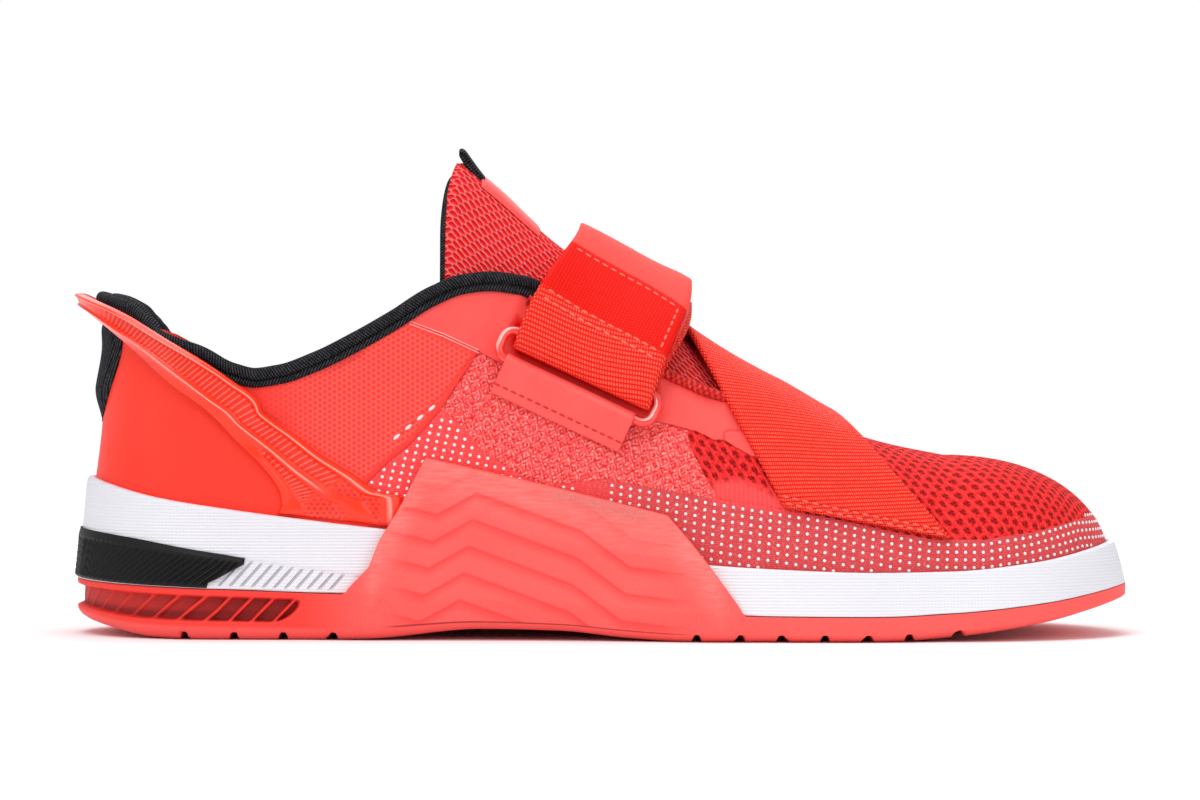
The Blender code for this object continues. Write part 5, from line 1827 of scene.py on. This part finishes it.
@dataclass
class Tongue:
    """Padded tongue of spacer mesh with black edges, its bare smooth patch and the black pull loop.

    Attributes:
        low: Lower edge of the tongue inside the upper, by x.
        span: Top and front end of the tongue along the foot.
        rear: How far its rear edge leans back beside the middle.
        thick: Thickness of the padding.
        patch_span: Top and front end of the patch along the foot, and half its width in shares of the tongue.
    """

    low: Sections = Sections("x low", ((103, 78), (130, 76), (167, 58), (190, 52), (214, 50)))
    span: tuple[float, float] = (105.5, 214.0)
    rear: float = 3.4
    thick: float = 5.0
    patch_span: tuple[float, float, float] = (112.6, 129.4, 0.21)

    def point(self, x: Field, t: Field, deep: Field) -> Field:
        """Points of the tongue at a depth below its face.

        Args:
            x: Places along the foot.
            t: Places across, from -1 to 1.
            deep: Depths.

        Returns:
            The points, with a last axis of three.
        """
        swell = 2.3 * np.maximum(1 - (t / 0.62) ** 2, 0.0) * (1 - ease(x, 165, 190))
        room = 3.2 + 0.9 * ease(x, 172, 196)
        return LAST.over(x, t, self.low.at("low", x), swell - room - deep)

    def build(self) -> None:
        """Make the padded sheet, its patch and its loop."""
        t = np.linspace(-1, 1, 141)[None]
        share = np.linspace(0, 1, 150)[:, None]
        start = self.span[0] - self.rear * ease(np.abs(t), 0, 0.58)
        x = mix(start, self.span[1], share)
        soft = (1.3 * (1 - ease(share * 108.0, 0, 3)) ** 2
                + (1 - ease(1 - np.abs(t), 0, 0.06)))
        top = self.point(x, t, soft)
        under = self.point(x, t, self.thick - 0.5 * soft)
        tongue = Mould.grid("tongue_pad", top, {"mesh": chart_of(top)}, inside=(150, 0, 40))
        SpacerMesh().dress(tongue)
        LiningCloth("tongue_lining").dress(tongue)
        Mould.thicken(tongue, self.thick, lining=1, under=under)
        Shoe.keep(tongue, "tongue", "tongue")
        self.binding()
        self.patch()
        self.loop()

    def binding(self) -> None:
        """Black lining turned out along the tongue's rear edge, below its red top."""
        t = np.linspace(-0.98, 0.98, 150)
        x = self.span[0] - self.rear * ease(np.abs(t), 0, 0.58) - 0.15
        path = self.point(x, t, 2.3 + 2.6 * bump(t, 0, 0.24))
        piece = Mould.cord("tongue_edge", path, 1.05, 12)
        RibKnit("thread", "black_edge_tape").dress(piece)
        Shoe.keep(piece, "tongue")

    def patch(self) -> None:
        """Bare smooth patch below the loop, sewn on along its edges."""
        start, end, half = self.patch_span
        t = np.linspace(-half, half, 41)[None]
        x = np.linspace(start, end, 40)[:, None]
        edge = np.minimum(np.minimum(x - start, end - x) / 1.2, (half - np.abs(t)) / 0.03)
        crown = np.sqrt(np.clip(edge, 0, 1))
        sag = 0.35 * bump(x, 119, 6)
        piece = Mould.slab("tongue_patch", self.point(x, t, -0.2 - 0.5 * crown - sag), self.point(x, t, -0.2),
                           inside=(150, 0, 40))
        SatinFilm("coated_patch", "F04340", "FB5A56").dress(piece)
        Shoe.keep(piece, "tongue_label", "tongue_label")

    def loop(self) -> None:
        """Pull loop: one band of black webbing that leaves the patch, turns over and comes back down."""
        road = np.array(((117.2, 127.2), (114.4, 129.9), (112.1, 132.8), (110.2, 135.4), (108.8, 137.4),
                         (107.8, 138.7), (106.8, 139.1), (106.1, 138.6), (106.2, 137.7), (107.0, 136.3),
                         (108.4, 134.2), (110.4, 131.9), (112.6, 129.6)))
        key, fine = np.linspace(0, 1, len(road)), np.linspace(0, 1, 70)
        t = np.linspace(-0.12, 0.12, 15)
        across = self.point(np.full_like(t, 112.0), t, 0.0 * t)
        points = np.repeat(across[None], len(fine), 0)
        points[..., 0] = np.interp(fine, key, road[:, 0])[:, None]
        points[..., 2] += np.interp(fine, key, road[:, 1])[:, None] - across[7, 2]
        smooth(points)
        piece = Mould.grid("tongue_pull_loop", points, {"thread": chart_of(points)},
                           inside=(109, 0, 135))
        Mould.thicken(piece, 1.1)
        RibKnit("thread", "black_webbing").dress(piece)
        Shoe.keep(piece, "tongue_pull", "tongue_pull")


@dataclass
class Straps:
    """Forefoot strap, folded instep strap, wire ring and the tab that keeps the ring.

    Attributes:
        forefoot: Rear and front edge of the forefoot strap, from the inner end over the ridge to the outer.
        instep: The same for the instep strap.
        forefoot_ends: Heights of the forefoot strap's inner and outer end.
        instep_ends: Heights of the instep strap's inner and outer end.
        drops: How far the ends of the forefoot and of the instep strap fall from rear to front edge.
        stand: How far the instep strap stands off the last over the ridge, from its rear to its front edge.
        crown: The same for the forefoot strap.
        slant: Rise of the forefoot strap's ribs towards the toe, against its ends.
        seams: Places of the two seams that sew the forefoot strap's inner end down.
        webbing: Thickness of the webbing.
        stack: Height of the folded instep strap.
        ring_size: Length and depth of the ring.
        ring_round: Radius of its corners.
        ring_centre: Middle of the ring in x and z.
        ring_slope: Slope of the ring in degrees.
        bar: How far the ring's wire stands off the last.
        wire: Radius of the wire.
        tab_seam: Place of the tab's seam across the ring.
    """

    forefoot: Sections = Sections("t rear front", ((-1, 198.4, 246), (0, 171, 214.8), (1, 167, 206)))
    instep: Sections = Sections("t rear front", ((-1, 123, 161.4), (0, 141, 173), (1, 126, 162)))
    forefoot_ends: tuple[float, float] = (33.4, 46.0)
    instep_ends: tuple[float, float] = (76.9, 56.0)
    drops: tuple[float, float] = (-9.0, -18.0)
    stand: Sections = Sections(
        "s lift",
        (
            (0, 0.9), (0.1, 1.44), (0.2, 1.69), (0.3, 1.76), (0.4, 1.77), (0.5, 1.76), (0.6, 2.12),
            (0.7, 2.9), (0.8, 4.06), (0.9, 5.46), (1, 6.66),
        ),
    )
    crown: Sections = Sections("s lift", ((0, 0.8), (0.3, 0.9), (0.5, 1.2), (0.7, 1.9), (0.9, 2.2), (1, 2.2)))
    slant: float = 0.3
    seams: tuple[float, float] = (0.94, 0.975)
    webbing: float = 2.2
    stack: float = 7.4
    ring_size: tuple[float, float] = (48.0, 8.4)
    ring_round: float = 3.2
    ring_centre: tuple[float, float] = (140.5, 74.5)
    ring_slope: float = -25.0
    bar: float = 4.1
    wire: float = 1.35
    tab_seam: float = -11.4

    def build(self) -> None:
        """Make the straps, the ring and its tab."""
        self.forefoot_strap()
        self.instep_strap()
        self.ring()
        self.keeper()

    def across(self, rows: Sections, ends: tuple[float, float], drop: float, t: Field, s: Field, grow: Field,
               bent: bool = False) -> Field:
        """Points of a strap.

        Args:
            rows: Its rear and front edge.
            ends: Heights of its inner and outer end.
            drop: How far its ends fall from the rear to the front edge.
            t: Place over the foot, -1 at the inner end and 1 at the outer.
            s: Place across the webbing, 0 at the rear edge and 1 at the front.
            grow: How far the points stand off the last.
            bent: Whether the edges follow the height, so that they look straight from the side.

        Returns:
            The points.
        """
        way = self.straight(t) if bent else t
        x = mix(rows.at("rear", way), rows.at("front", way), s)
        return LAST.over(x, np.where(t == 0, 1e-9, t), np.where(t < 0, *ends) + drop * (s - 0.5), grow)

    @staticmethod
    def straight(t: Field) -> Field:
        """Place over the foot, partly by height, so that a strap's edges look straight from the side."""
        return mix(t, np.sign(t) * (1 - np.cos(np.abs(t))) / (1 - math.cos(1.0)), 0.6)

    def over_vamp(self, t: Field, s: Field, grow: Field) -> Field:
        """Points of the forefoot strap."""
        return self.across(self.forefoot, self.forefoot_ends, self.drops[0], t, s, grow)

    def on_ring(self, a: Field, b: Field, back: float = 0.0) -> tuple[Field, Field]:
        """Turn places along and across the ring, moved back a little, into x and z on the flank.

        Args:
            a: Places along it.
            b: Places across it.
            back: How far they are moved.

        Returns:
            The places in x and in z.
        """
        slope = math.radians(self.ring_slope)
        x = self.ring_centre[0] - back + a * math.cos(slope) - b * math.sin(slope)
        return x, self.ring_centre[1] + a * math.sin(slope) + b * math.cos(slope)

    def forefoot_strap(self) -> None:
        """Woven strap that is sewn in at both flanks and crosses the vamp."""
        t = np.linspace(-1, 1, 241)[:, None]
        s = np.linspace(0, 1, 61)[None]
        edge = np.minimum(np.minimum(s, 1 - s) / 0.03, (1 - np.abs(t)) / 0.012)
        rounded = np.sqrt(np.clip(1 - (1 - np.clip(edge, 0, 1)) ** 2, 0, 1))
        high = 1.05 + (self.webbing - 1.1) * rounded
        sewn = bump(np.abs(t), self.seams[0], 0.012) + bump(np.abs(t), self.seams[1], 0.01)
        sewn = sewn * (t < 0)
        lift = self.crown.at("lift", s) * (1 - ease(np.abs(t), 0.3, 0.85))
        top = self.over_vamp(t, s, high + lift - 0.45 * sewn)
        under = self.over_vamp(t, s, 0.45 + lift)
        chart = chart_of(top) @ np.array(((1.0, 0.0), (-self.slant, 1.0)))
        piece = Mould.slab("forefoot_strap_webbing", top, under, {"weave": chart}, inside=(200, 0, 20))
        Webbing("woven_webbing", (0.8, 1.38)).dress(piece)
        Shoe.keep(piece, "forefoot_strap", "forefoot_strap")
        cut_size(top)

    def lift(self, s: Field, t: Field) -> Field:
        """How far the folded strap stands off the last."""
        return GAP + self.stand.at("lift", s) * (1 - np.abs(t))

    def fold(self, t: Field, s: Field, high: Field, turn: Field, swing: Field) -> Field:
        """Points of the folded strap; past the inner end it swings round the ring's bar.

        Args:
            t: Place over the foot.
            s: Place across the webbing.
            high: Height over the strap's underside.
            turn: Angle round the bar, from 0 on the outer layer to pi on the inner one.
            swing: Radius round the bar there.

        Returns:
            The points.
        """
        ends, drop = self.instep_ends, self.drops[1]
        base = self.across(self.instep, ends, drop, t, s, self.lift(s, t) + high, bent=True)
        step = self.across(self.instep, ends, drop, t + 0.02, s, self.lift(s, t) + high, bent=True)
        down = base - step
        down /= np.linalg.norm(down, axis=-1)[..., None]
        return base + down * (swing * np.sin(turn))[..., None]

    def instep_strap(self) -> None:
        """Instep strap: one band from its sewn outer end to the ring, round the bar, and back on itself."""
        s = np.linspace(0, 1, 51)[None]
        outer_t, inner_t = np.linspace(0.33, -1, 170), np.linspace(-1, 1, 200)
        turn = np.linspace(0, math.pi, 22)[1:-1]
        t = np.concatenate((outer_t, np.full(20, -1.0), inner_t))[:, None]
        angle = np.concatenate((0 * outer_t, turn, 0 * inner_t + math.pi))[:, None]
        half = self.stack / 2
        edge = np.minimum(s, 1 - s) / 0.03
        tip = np.concatenate((np.linspace(0, 40, 170), np.full(220, 40.0)))[:, None]
        rounded = np.sqrt(np.clip(1 - (1 - np.clip(np.minimum(edge, tip), 0, 1)) ** 2, 0, 1))
        face, back = half - 0.45 * (1 - rounded), half - self.webbing + 0.45 * (1 - rounded)
        top = self.fold(t, s, half + face * np.cos(angle), angle, face)
        under = self.fold(t, s, half + back * np.cos(angle), angle, back)
        chart = chart_of(top)
        outward = (angle == 0).astype(float)
        notes = {
            "pressed": outward * ease(t, -0.80, -0.78) * (1 - ease(t, -0.44, -0.42)) + 0 * s,
            "turned": outward * ease(t, -0.435, -0.42) + 0 * s,
        }
        piece = Mould.grid("instep_strap_webbing", top, {"weave": chart}, notes)
        Mould.thicken(piece, self.webbing, under=under)
        Mould.close(piece)
        Webbing("woven_webbing_pressed", (0.8, 1.42), pressed=True).dress(piece)
        Shoe.keep(piece, "instep_strap", "instep_strap")
        cut_size(top)
        self.fastener(s)

    def fastener(self, s: Field) -> None:
        """Hook-and-loop layer between the two layers of the strap, seen along their edges.

        Args:
            s: Places across the webbing.
        """
        t = np.linspace(-0.72, 0.30, 120)[:, None]
        inset = mix(0.02, 0.98, s)
        low, high = self.webbing + 0.05, self.stack - self.webbing - 0.05
        top = self.fold(t, inset, high + 0 * t, 0 * t, 0 * t)
        under = self.fold(t, inset, low + 0 * t, 0 * t, 0 * t)
        piece = Mould.slab("instep_fastener", top, under, inside=(150, 0, 40))
        SatinFilm("hook_and_loop_tape", "E8443E", "FF8078", 0.75).dress(piece)
        Shoe.keep(piece, "instep_strap")

    def ring_corner(self, k: int, angle: float) -> Field:
        """Place on the ring's rounded corner k, along and across the ring, at an angle round the corner.

        Args:
            k: Number of the corner.
            angle: The angle.

        Returns:
            The two places.
        """
        turn, size = np.array((math.cos(angle), math.sin(angle))), np.array(self.ring_size)
        sign = np.array(((1, 1), (-1, 1), (-1, -1), (1, -1))[k % 4])
        return sign * (size / 2 - self.ring_round) + self.ring_round * turn

    def ring(self) -> None:
        """Coated wire ring: a rounded rectangle that lies on the inner flank."""
        spots = []
        for k in range(4):
            spots += [self.ring_corner(k, a) for a in np.linspace(0, QUARTER, 9) + QUARTER * k]
            goal = self.ring_corner(k + 1, QUARTER * (k + 1))
            spots += [mix(spots[-1], goal, share) for share in np.linspace(0, 1, 14)[1:-1]]
        path = LAST.on_flank(*self.on_ring(*np.array(spots).T), -1, self.bar)
        piece = Mould.cord("wire_ring", path, self.wire, 14, closed=True, up=np.array((0.0, -1.0, 0.0)))
        CoatedWire().dress(piece)
        Shoe.keep(piece, "ring", "ring")

    def keeper(self) -> None:
        """Smooth tab folded round the ring's lower bar and sewn to the flank."""
        road = np.array(((-14.2, 1.5), (-13.4, 2.1), (-11.4, 2.7), (-9.4, 3.5), (-7.6, 4.5), (-6.2, 5.4),
                         (-5.2, 6.0), (-4.4, 6.4), (-3.5, 6.4), (-2.7, 5.9), (-2.1, 5.1), (-1.95, 4.1),
                         (-2.2, 3.1), (-3.0, 2.4), (-4.4, 1.8), (-7.0, 1.4), (-13.6, 0.8)))
        key, fine = np.linspace(0, 1, len(road)), np.linspace(0, 1, 90)
        b, high = np.interp(fine, key, road[:, 0])[:, None], np.interp(fine, key, road[:, 1])[:, None]
        smooth(b)
        smooth(high)
        a = np.linspace(-20, 20, 61)[None]
        x, z = self.on_ring(a, b, 1.0)
        sewn = 0.3 * bump(b, self.tab_seam, 0.5) * (fine[:, None] < 0.4)
        points = LAST.on_flank(x, z, -1, high - sewn + 0 * a)
        piece = Mould.grid("ring_keeper_tab", points, {"weave": chart_of(points)}, inside=(142, 0, 60))
        Mould.thicken(piece, 0.9)
        SatinFilm("coated_tab", "FA4A46", "FF5C56").dress(piece)
        Shoe.keep(piece, "ring_keeper", "ring_keeper")
        cut_size(points)


class CoatedWire(Finish):
    """Wire under a thick glossy red coating, with a painted highlight along its upper face."""

    def __init__(self) -> None:
        """Build the finish."""
        super().__init__("coated_wire", rough=0.18, coat=1.0)
        place = self.add("TexCoord", out="Object")
        drift = self.noise(place, 90, 2)
        body = self.blend(drift, "FA2A26", "FF3830")
        up = self.add("VectorMath", self.add("TexCoord", out="Normal"), (-0.40, -0.66, 0.64),
                      operation="DOT_PRODUCT", out="Value")
        # Painted highlight where the wire faces up, towards the inner side and the heel.
        upper_face_highlight = self.ramp(up, 0.80, 0.97, 0, 0.75)
        self.paint(self.blend(upper_face_highlight, body, "FFC4BC"))


class Thread(Finish):
    """Plied sewing thread: a soft even colour with a faint twist."""

    def __init__(self, name: str, code: str, rough: float = 0.6) -> None:
        """Build the finish in one colour.

        Args:
            name: Name of the thread.
            code: Its colour.
            rough: Roughness.
        """
        super().__init__(name, rough=rough, sheen=0.05)
        place = self.add("TexCoord", out="Object")
        ply = self.noise(place, 2600, 2)
        tone = linear(code)
        self.paint(self.blend(ply, tuple(0.8 * c for c in tone[:3]) + (1.0,), tone))
        self.relief(ply, 0.08)


@dataclass
class Trim:
    """Small things on the upper and the straps: printed dots, stitches, seams and the throat's cord.

    Attributes:
        straps: The straps that carry stitches.
        upper: The upper that carries the dots.
        dot: Width of a printed dot.
        meet: Where the slanted patch of dots ends and the rows round the forefoot begin.
        stitch: Length, width and height of a stitch.
    """

    straps: Straps
    upper: Upper
    dot: float = 1.04
    meet: float = 141.0
    stitch: tuple[float, float, float] = (2.2, 0.8, 0.6)

    def build(self) -> None:
        """Make the dots, stitches, seams and cord."""
        self.dots()
        self.strap_stitches()
        self.seams()
        self.throat_cord()

    def dots(self) -> None:
        """White printed dots: a slanted patch behind the guard and rows round the forefoot, on each flank."""
        spots = []
        for i in range(-20, 26):
            for j in range(-3, 14):
                x, z = 102.2 + 2.5 * i - 0.49 * j, 64.1 - 0.447 * i - 2.03 * j
                if x < self.meet:
                    spots.append((x, z))
        top = np.array([p for p in self.upper.panels["dotted"] if p[0] >= 148 and p[1] > 0][:-1])
        first = float(LAST.place(150.0))
        for j in range(-1, 12):
            for i in range(0, 90):
                u = first + 2.64 * i - 0.15 * j
                if u < LAST.u_tip + 0.5:
                    x = float(LAST.along(min(u, LAST.u_tip)))
                    if x > self.meet:
                        edge = float(np.interp(x, top[:, 0], top[:, 1]))
                        spots.append((x, edge - 1.5 - (2.03 + 0.03 * j) * j))
        x, z = np.array(spots).T
        shown = panel_reach(x, z, self.upper.panels["dotted"]) > 0.7
        for cover in ("quarter", "eyestay", "strip", "counter"):
            shown &= panel_reach(x, z, self.upper.panels[cover]) < -0.5
        shown &= z > LAST.sole.at("rim", x) + 0.2
        x, z = x[shown], z[shown]
        places, level, out = [], [], []
        for side in Side:
            u = LAST.place(x)
            here = LAST.at_height(u, side.value, z, 0.24)
            places.append(here)
            level.append(LAST.at_height(u + 0.5, side.value, z, 0.24) - here + np.array((1e-6, 0.0, 0.0)))
            out.append(LAST.at_height(u, side.value, z, 1.24) - here)
        piece = Mould.repeat("printed_dots", Mould.dot_seed(), np.concatenate(places), np.concatenate(level),
                             np.concatenate(out), (self.dot, self.dot, 0.22))
        ink = Finish("screen_print_white", rough=0.5)
        place = ink.add("TexCoord", out="Object")
        ink.paint(ink.blend(ink.noise(place, 900), "EDE6E8", "F8F4F6"))
        ink.dress(piece)
        Shoe.keep(piece, "upper")

    def sew(self, name: str, rows: Sequence[tuple[Field, Field]], pitch: float, finish: Finish, slot: str,
            size: Sequence[float] | None = None) -> None:
        """Lay stitches along rows.

        Args:
            name: Name of the joined stitches.
            rows: Points along each row and the outward direction there.
            pitch: Distance from stitch to stitch.
            finish: The thread.
            slot: The record's slot.
            size: Size of one stitch, if not the usual.
        """
        places, level, outs = [], [], []
        for path, out in rows:
            run = run_of(path)
            at = np.arange(pitch / 2, run[-1], pitch)
            places.append(read_path(at, run, path))
            level.append(read_path(at + 0.3, run, path) - read_path(at - 0.3, run, path))
            outs.append(read_path(at, run, out))
        piece = Mould.repeat(name, Mould.stitch_seed(), np.concatenate(places), np.concatenate(level),
                             np.concatenate(outs), size or self.stitch)
        finish.dress(piece)
        Shoe.keep(piece, slot)

    def strap_row(self, s: Field, t: Field) -> tuple[Field, Field]:
        """Row of places on the instep strap's outer layer, with the outward direction.

        Args:
            s: Places across the webbing.
            t: Places over the foot.

        Returns:
            The points and the directions.
        """
        straps = self.straps
        s, t = np.broadcast_arrays(np.asarray(s, float), np.asarray(t, float))
        low = straps.fold(t, s, straps.stack - 0.05 + 0 * t, 0 * t, 0 * t)
        return low, straps.fold(t, s, straps.stack + 1.0 + 0 * t, 0 * t, 0 * t) - low

    def strap_stitches(self) -> None:
        """Stitched box on the instep strap, and the rows that sew the forefoot strap and the tab down."""
        line = np.linspace(0, 1, 80)
        rows = [self.strap_row(mix(0.06, 0.94, line), t + 0 * line) for t in (-0.47, -0.79, -0.83)]
        rows.append(self.strap_row(0.94 + 0 * line, mix(-0.47, -0.79, line)))
        self.sew("instep_strap_stitches", rows, 2.8, Thread("strap_thread", "FF6A58"), "instep_strap")
        straps, front = self.straps, []
        for seam in straps.seams:
            s = mix(0.02, 0.98, line)
            low = straps.over_vamp(0 * line - seam, s, 2.0)
            front.append((low, straps.over_vamp(0 * line - seam, s, 3.0) - low))
        self.sew("forefoot_strap_stitches", front, 2.9, Thread("strap_thread_front", "FF6250"),
                 "forefoot_strap")
        x, z = straps.on_ring(mix(-20.3, 20.3, line), straps.tab_seam, 1.0)
        low = LAST.on_flank(x, z, -1, 2.45)
        self.sew("keeper_stitches", [(low, LAST.on_flank(x, z, -1, 3.45) - low)], 2.55,
                 Thread("tab_thread", "DC1C20"), "ring_keeper", (2.0, 0.75, 0.5))

    def flank_line(self, corners: Corners, side: Side, grow: float, count: int = 90) -> tuple[Field, Field]:
        """Line over the flank through corners in x and z, with the outward direction.

        Args:
            corners: The corners.
            side: The flank.
            grow: How far the points stand off the last.
            count: Number of points.

        Returns:
            The points and the directions.
        """
        run = np.array(corners, float)
        key = np.concatenate(((0.0,), np.cumsum(np.hypot(*np.diff(run, axis=0).T))))
        at = np.linspace(0, key[-1], count)
        x, z = np.interp(at, key, run[:, 0]), np.interp(at, key, run[:, 1])
        low = LAST.on_flank(x, z, side.value, grow)
        return low, LAST.on_flank(x, z, side.value, grow + 1.0) - low

    def seams(self) -> None:
        """Pressed seams of the quarter: a double shiny bead above, white bar tacks below."""
        for side in Side:
            for k, off in enumerate((0.0, 0.8)):
                path, _ = self.flank_line(((92.4, 90.2 - off), (102.0, 86.6 - off), (112.2, 81.9 - off)),
                                          side, 0.42)
                bead = Mould.cord(f"quarter_bead_{side.label}_{k}", path, 0.16, 8)
                # The clear beads' pale pink tone is partly their own and partly a painted highlight.
                SatinFilm(f"clear_bead_{side.label}_{k}", "FF7A74", "FFC0BA", 0.25).dress(bead)
                Shoe.keep(bead, "upper")
        rows = [self.flank_line(((100.5, 66.9), (95.0, 62.4), (88.4, 57.0)), side, 0.55) for side in Side]
        self.sew("quarter_tacks", rows, 4.3, Thread("white_thread", "F2E2E2"), "upper", (2.5, 1.0, 0.5))

    def throat_cord(self) -> None:
        """Plaited red cord along both edges of the throat."""
        for side in Side:
            x = np.linspace(126, 197, 260)
            u = LAST.place(x)
            tucked = ease(x, *((178.0, 186.0) if side is Side.INNER else (160.0, 167.0)))
            path = LAST.at_height(u, side.value, LAST.collar_top(u, side.value) - 0.2 - tucked,
                                  1.1 - 1.5 * tucked)
            turn = np.linspace(0, 2 * math.pi, 15)[None]
            run = 2 * math.pi * x[:, None] / 3.2
            plait = np.maximum(np.abs(np.sin(run / 2 + turn / 2)), np.abs(np.sin(run / 2 - turn / 2)))
            cord = Mould.cord(f"throat_cord_{side.label}", path, 1.0 + 0.5 * plait, 14)
            RibKnit("thread", f"plaited_cord_{side.label}", "C01414", "FF625A", (1.7, 1.5)).dress(cord)
            Shoe.keep(cord, "upper")


STRAPS = Straps()
UPPER = Upper()
PARTS = (Sole(), UPPER, Collar(), HeelBrace(), Tongue(), STRAPS, Trim(STRAPS, UPPER))


@dataclass
class Studio:
    """Pale floor, soft light and the camera at the photograph's height and angle.

    Attributes:
        away: Distance from the lens to the near flank, in metres.
        tilt: Degrees that the camera looks down.
        span: Width of the frame at the near flank, in metres.
        sensor: Width of the camera's sensor, in millimetres.
        aim: Point in the middle of the frame.
        floor_fade: Distances from the shoe between which the floor fades into the background, in metres.
        soft_light: Strength of the light from all round.
    """

    away: float = 2.5
    tilt: float = 2.0
    span: float = 0.340
    sensor: float = 36.0
    aim: tuple[float, float, float] = (0.0, -0.040, 0.068)
    floor_fade: tuple[float, float] = (0.35, 1.1)
    soft_light: float = 0.55

    def build(self) -> None:
        """Set up the floor, lights, world and camera."""
        bpy.ops.object.select_all(action="DESELECT")
        bpy.ops.mesh.primitive_plane_add(size=12.0)
        floor = bpy.context.object
        floor.name = "floor"
        self.paper().dress(floor)
        self.sky()
        bpy.context.scene.view_settings.view_transform = "Standard"
        for name, place, size, power in (
            ("key", (-0.5, -1.2, 1.5), 0.8, 10.0), ("fill", (1.1, -1.3, 0.6), 1.2, 5.0),
            ("heel", (-1.3, -0.8, 0.6), 1.0, 2.2), ("top", (0.0, 0.1, 1.7), 1.2, 14.0),
            ("back", (0.2, 1.3, 1.0), 1.2, 5.0),
        ):
            self.lamp(name, place, size, power)
        self.camera()

    def paper(self) -> Finish:
        """Matt white paper that fades into the white background away from the shoe.

        Returns:
            The finish.
        """
        paper = Finish("matt_paper", rough=0.9)
        place = paper.add("TexCoord", out="Object")
        grain = paper.noise(place, 900, 2)
        paper.paint(paper.blend(grain, "F6F6F8", "FCFCFD"))
        far = paper.add("VectorMath", place, operation="LENGTH", out="Value")
        paper.link(paper.fade(far, self.floor_fade[0], self.floor_fade[1], 1, 0), "Alpha")
        return paper

    def sky(self) -> None:
        """White background that lights the shoe softly, less than it shows."""
        world = bpy.data.worlds.new("studio")
        world.use_nodes = True
        tree = world.node_tree
        glow = tree.nodes["Background"]
        glow.inputs["Color"].default_value = linear("FFFFFF")
        seen = tree.nodes.new("ShaderNodeLightPath")
        power = tree.nodes.new("ShaderNodeMapRange")
        power.inputs["To Min"].default_value = self.soft_light
        power.inputs["To Max"].default_value = 1.0
        tree.links.new(seen.outputs["Is Camera Ray"], power.inputs["Value"])
        tree.links.new(power.outputs["Result"], glow.inputs["Strength"])
        bpy.context.scene.world = world

    def lamp(self, name: str, place: tuple[float, float, float], size: float, power: float) -> None:
        """Hang one soft square lamp that faces the shoe.

        Args:
            name: Name of the lamp.
            place: Where it hangs.
            size: Its side in metres.
            power: Its power in watts.
        """
        bpy.ops.object.light_add(type="AREA", location=place)
        lamp = bpy.context.object
        lamp.name = name
        lamp.data.size = size
        lamp.data.energy = power
        toward = np.array((0.0, 0.0, 0.06)) - np.array(place)
        flat = math.hypot(toward[0], toward[1])
        lamp.rotation_euler = (math.atan2(flat, -toward[2]), 0.0, math.atan2(toward[1], toward[0]) - QUARTER)

    def camera(self) -> None:
        """Place the camera square to the inner flank, a little above it."""
        tilt = math.radians(self.tilt)
        spot = (self.aim[0], self.aim[1] - self.away * math.cos(tilt),
                self.aim[2] + self.away * math.sin(tilt))
        bpy.ops.object.camera_add(location=spot, rotation=(QUARTER - tilt, 0.0, 0.0))
        camera = bpy.context.object
        camera.data.sensor_width = self.sensor
        camera.data.lens = self.sensor * self.away / self.span
        camera.data.dof.use_dof = False
        bpy.context.scene.camera = camera


def main() -> None:
    """Build the shoe from the floor up, then the studio."""
    logging.basicConfig(level=logging.INFO, format="%(name)s: %(message)s")
    for part in PARTS:
        part.build()
    Studio().build()


if __name__ == "__main__":
    main()
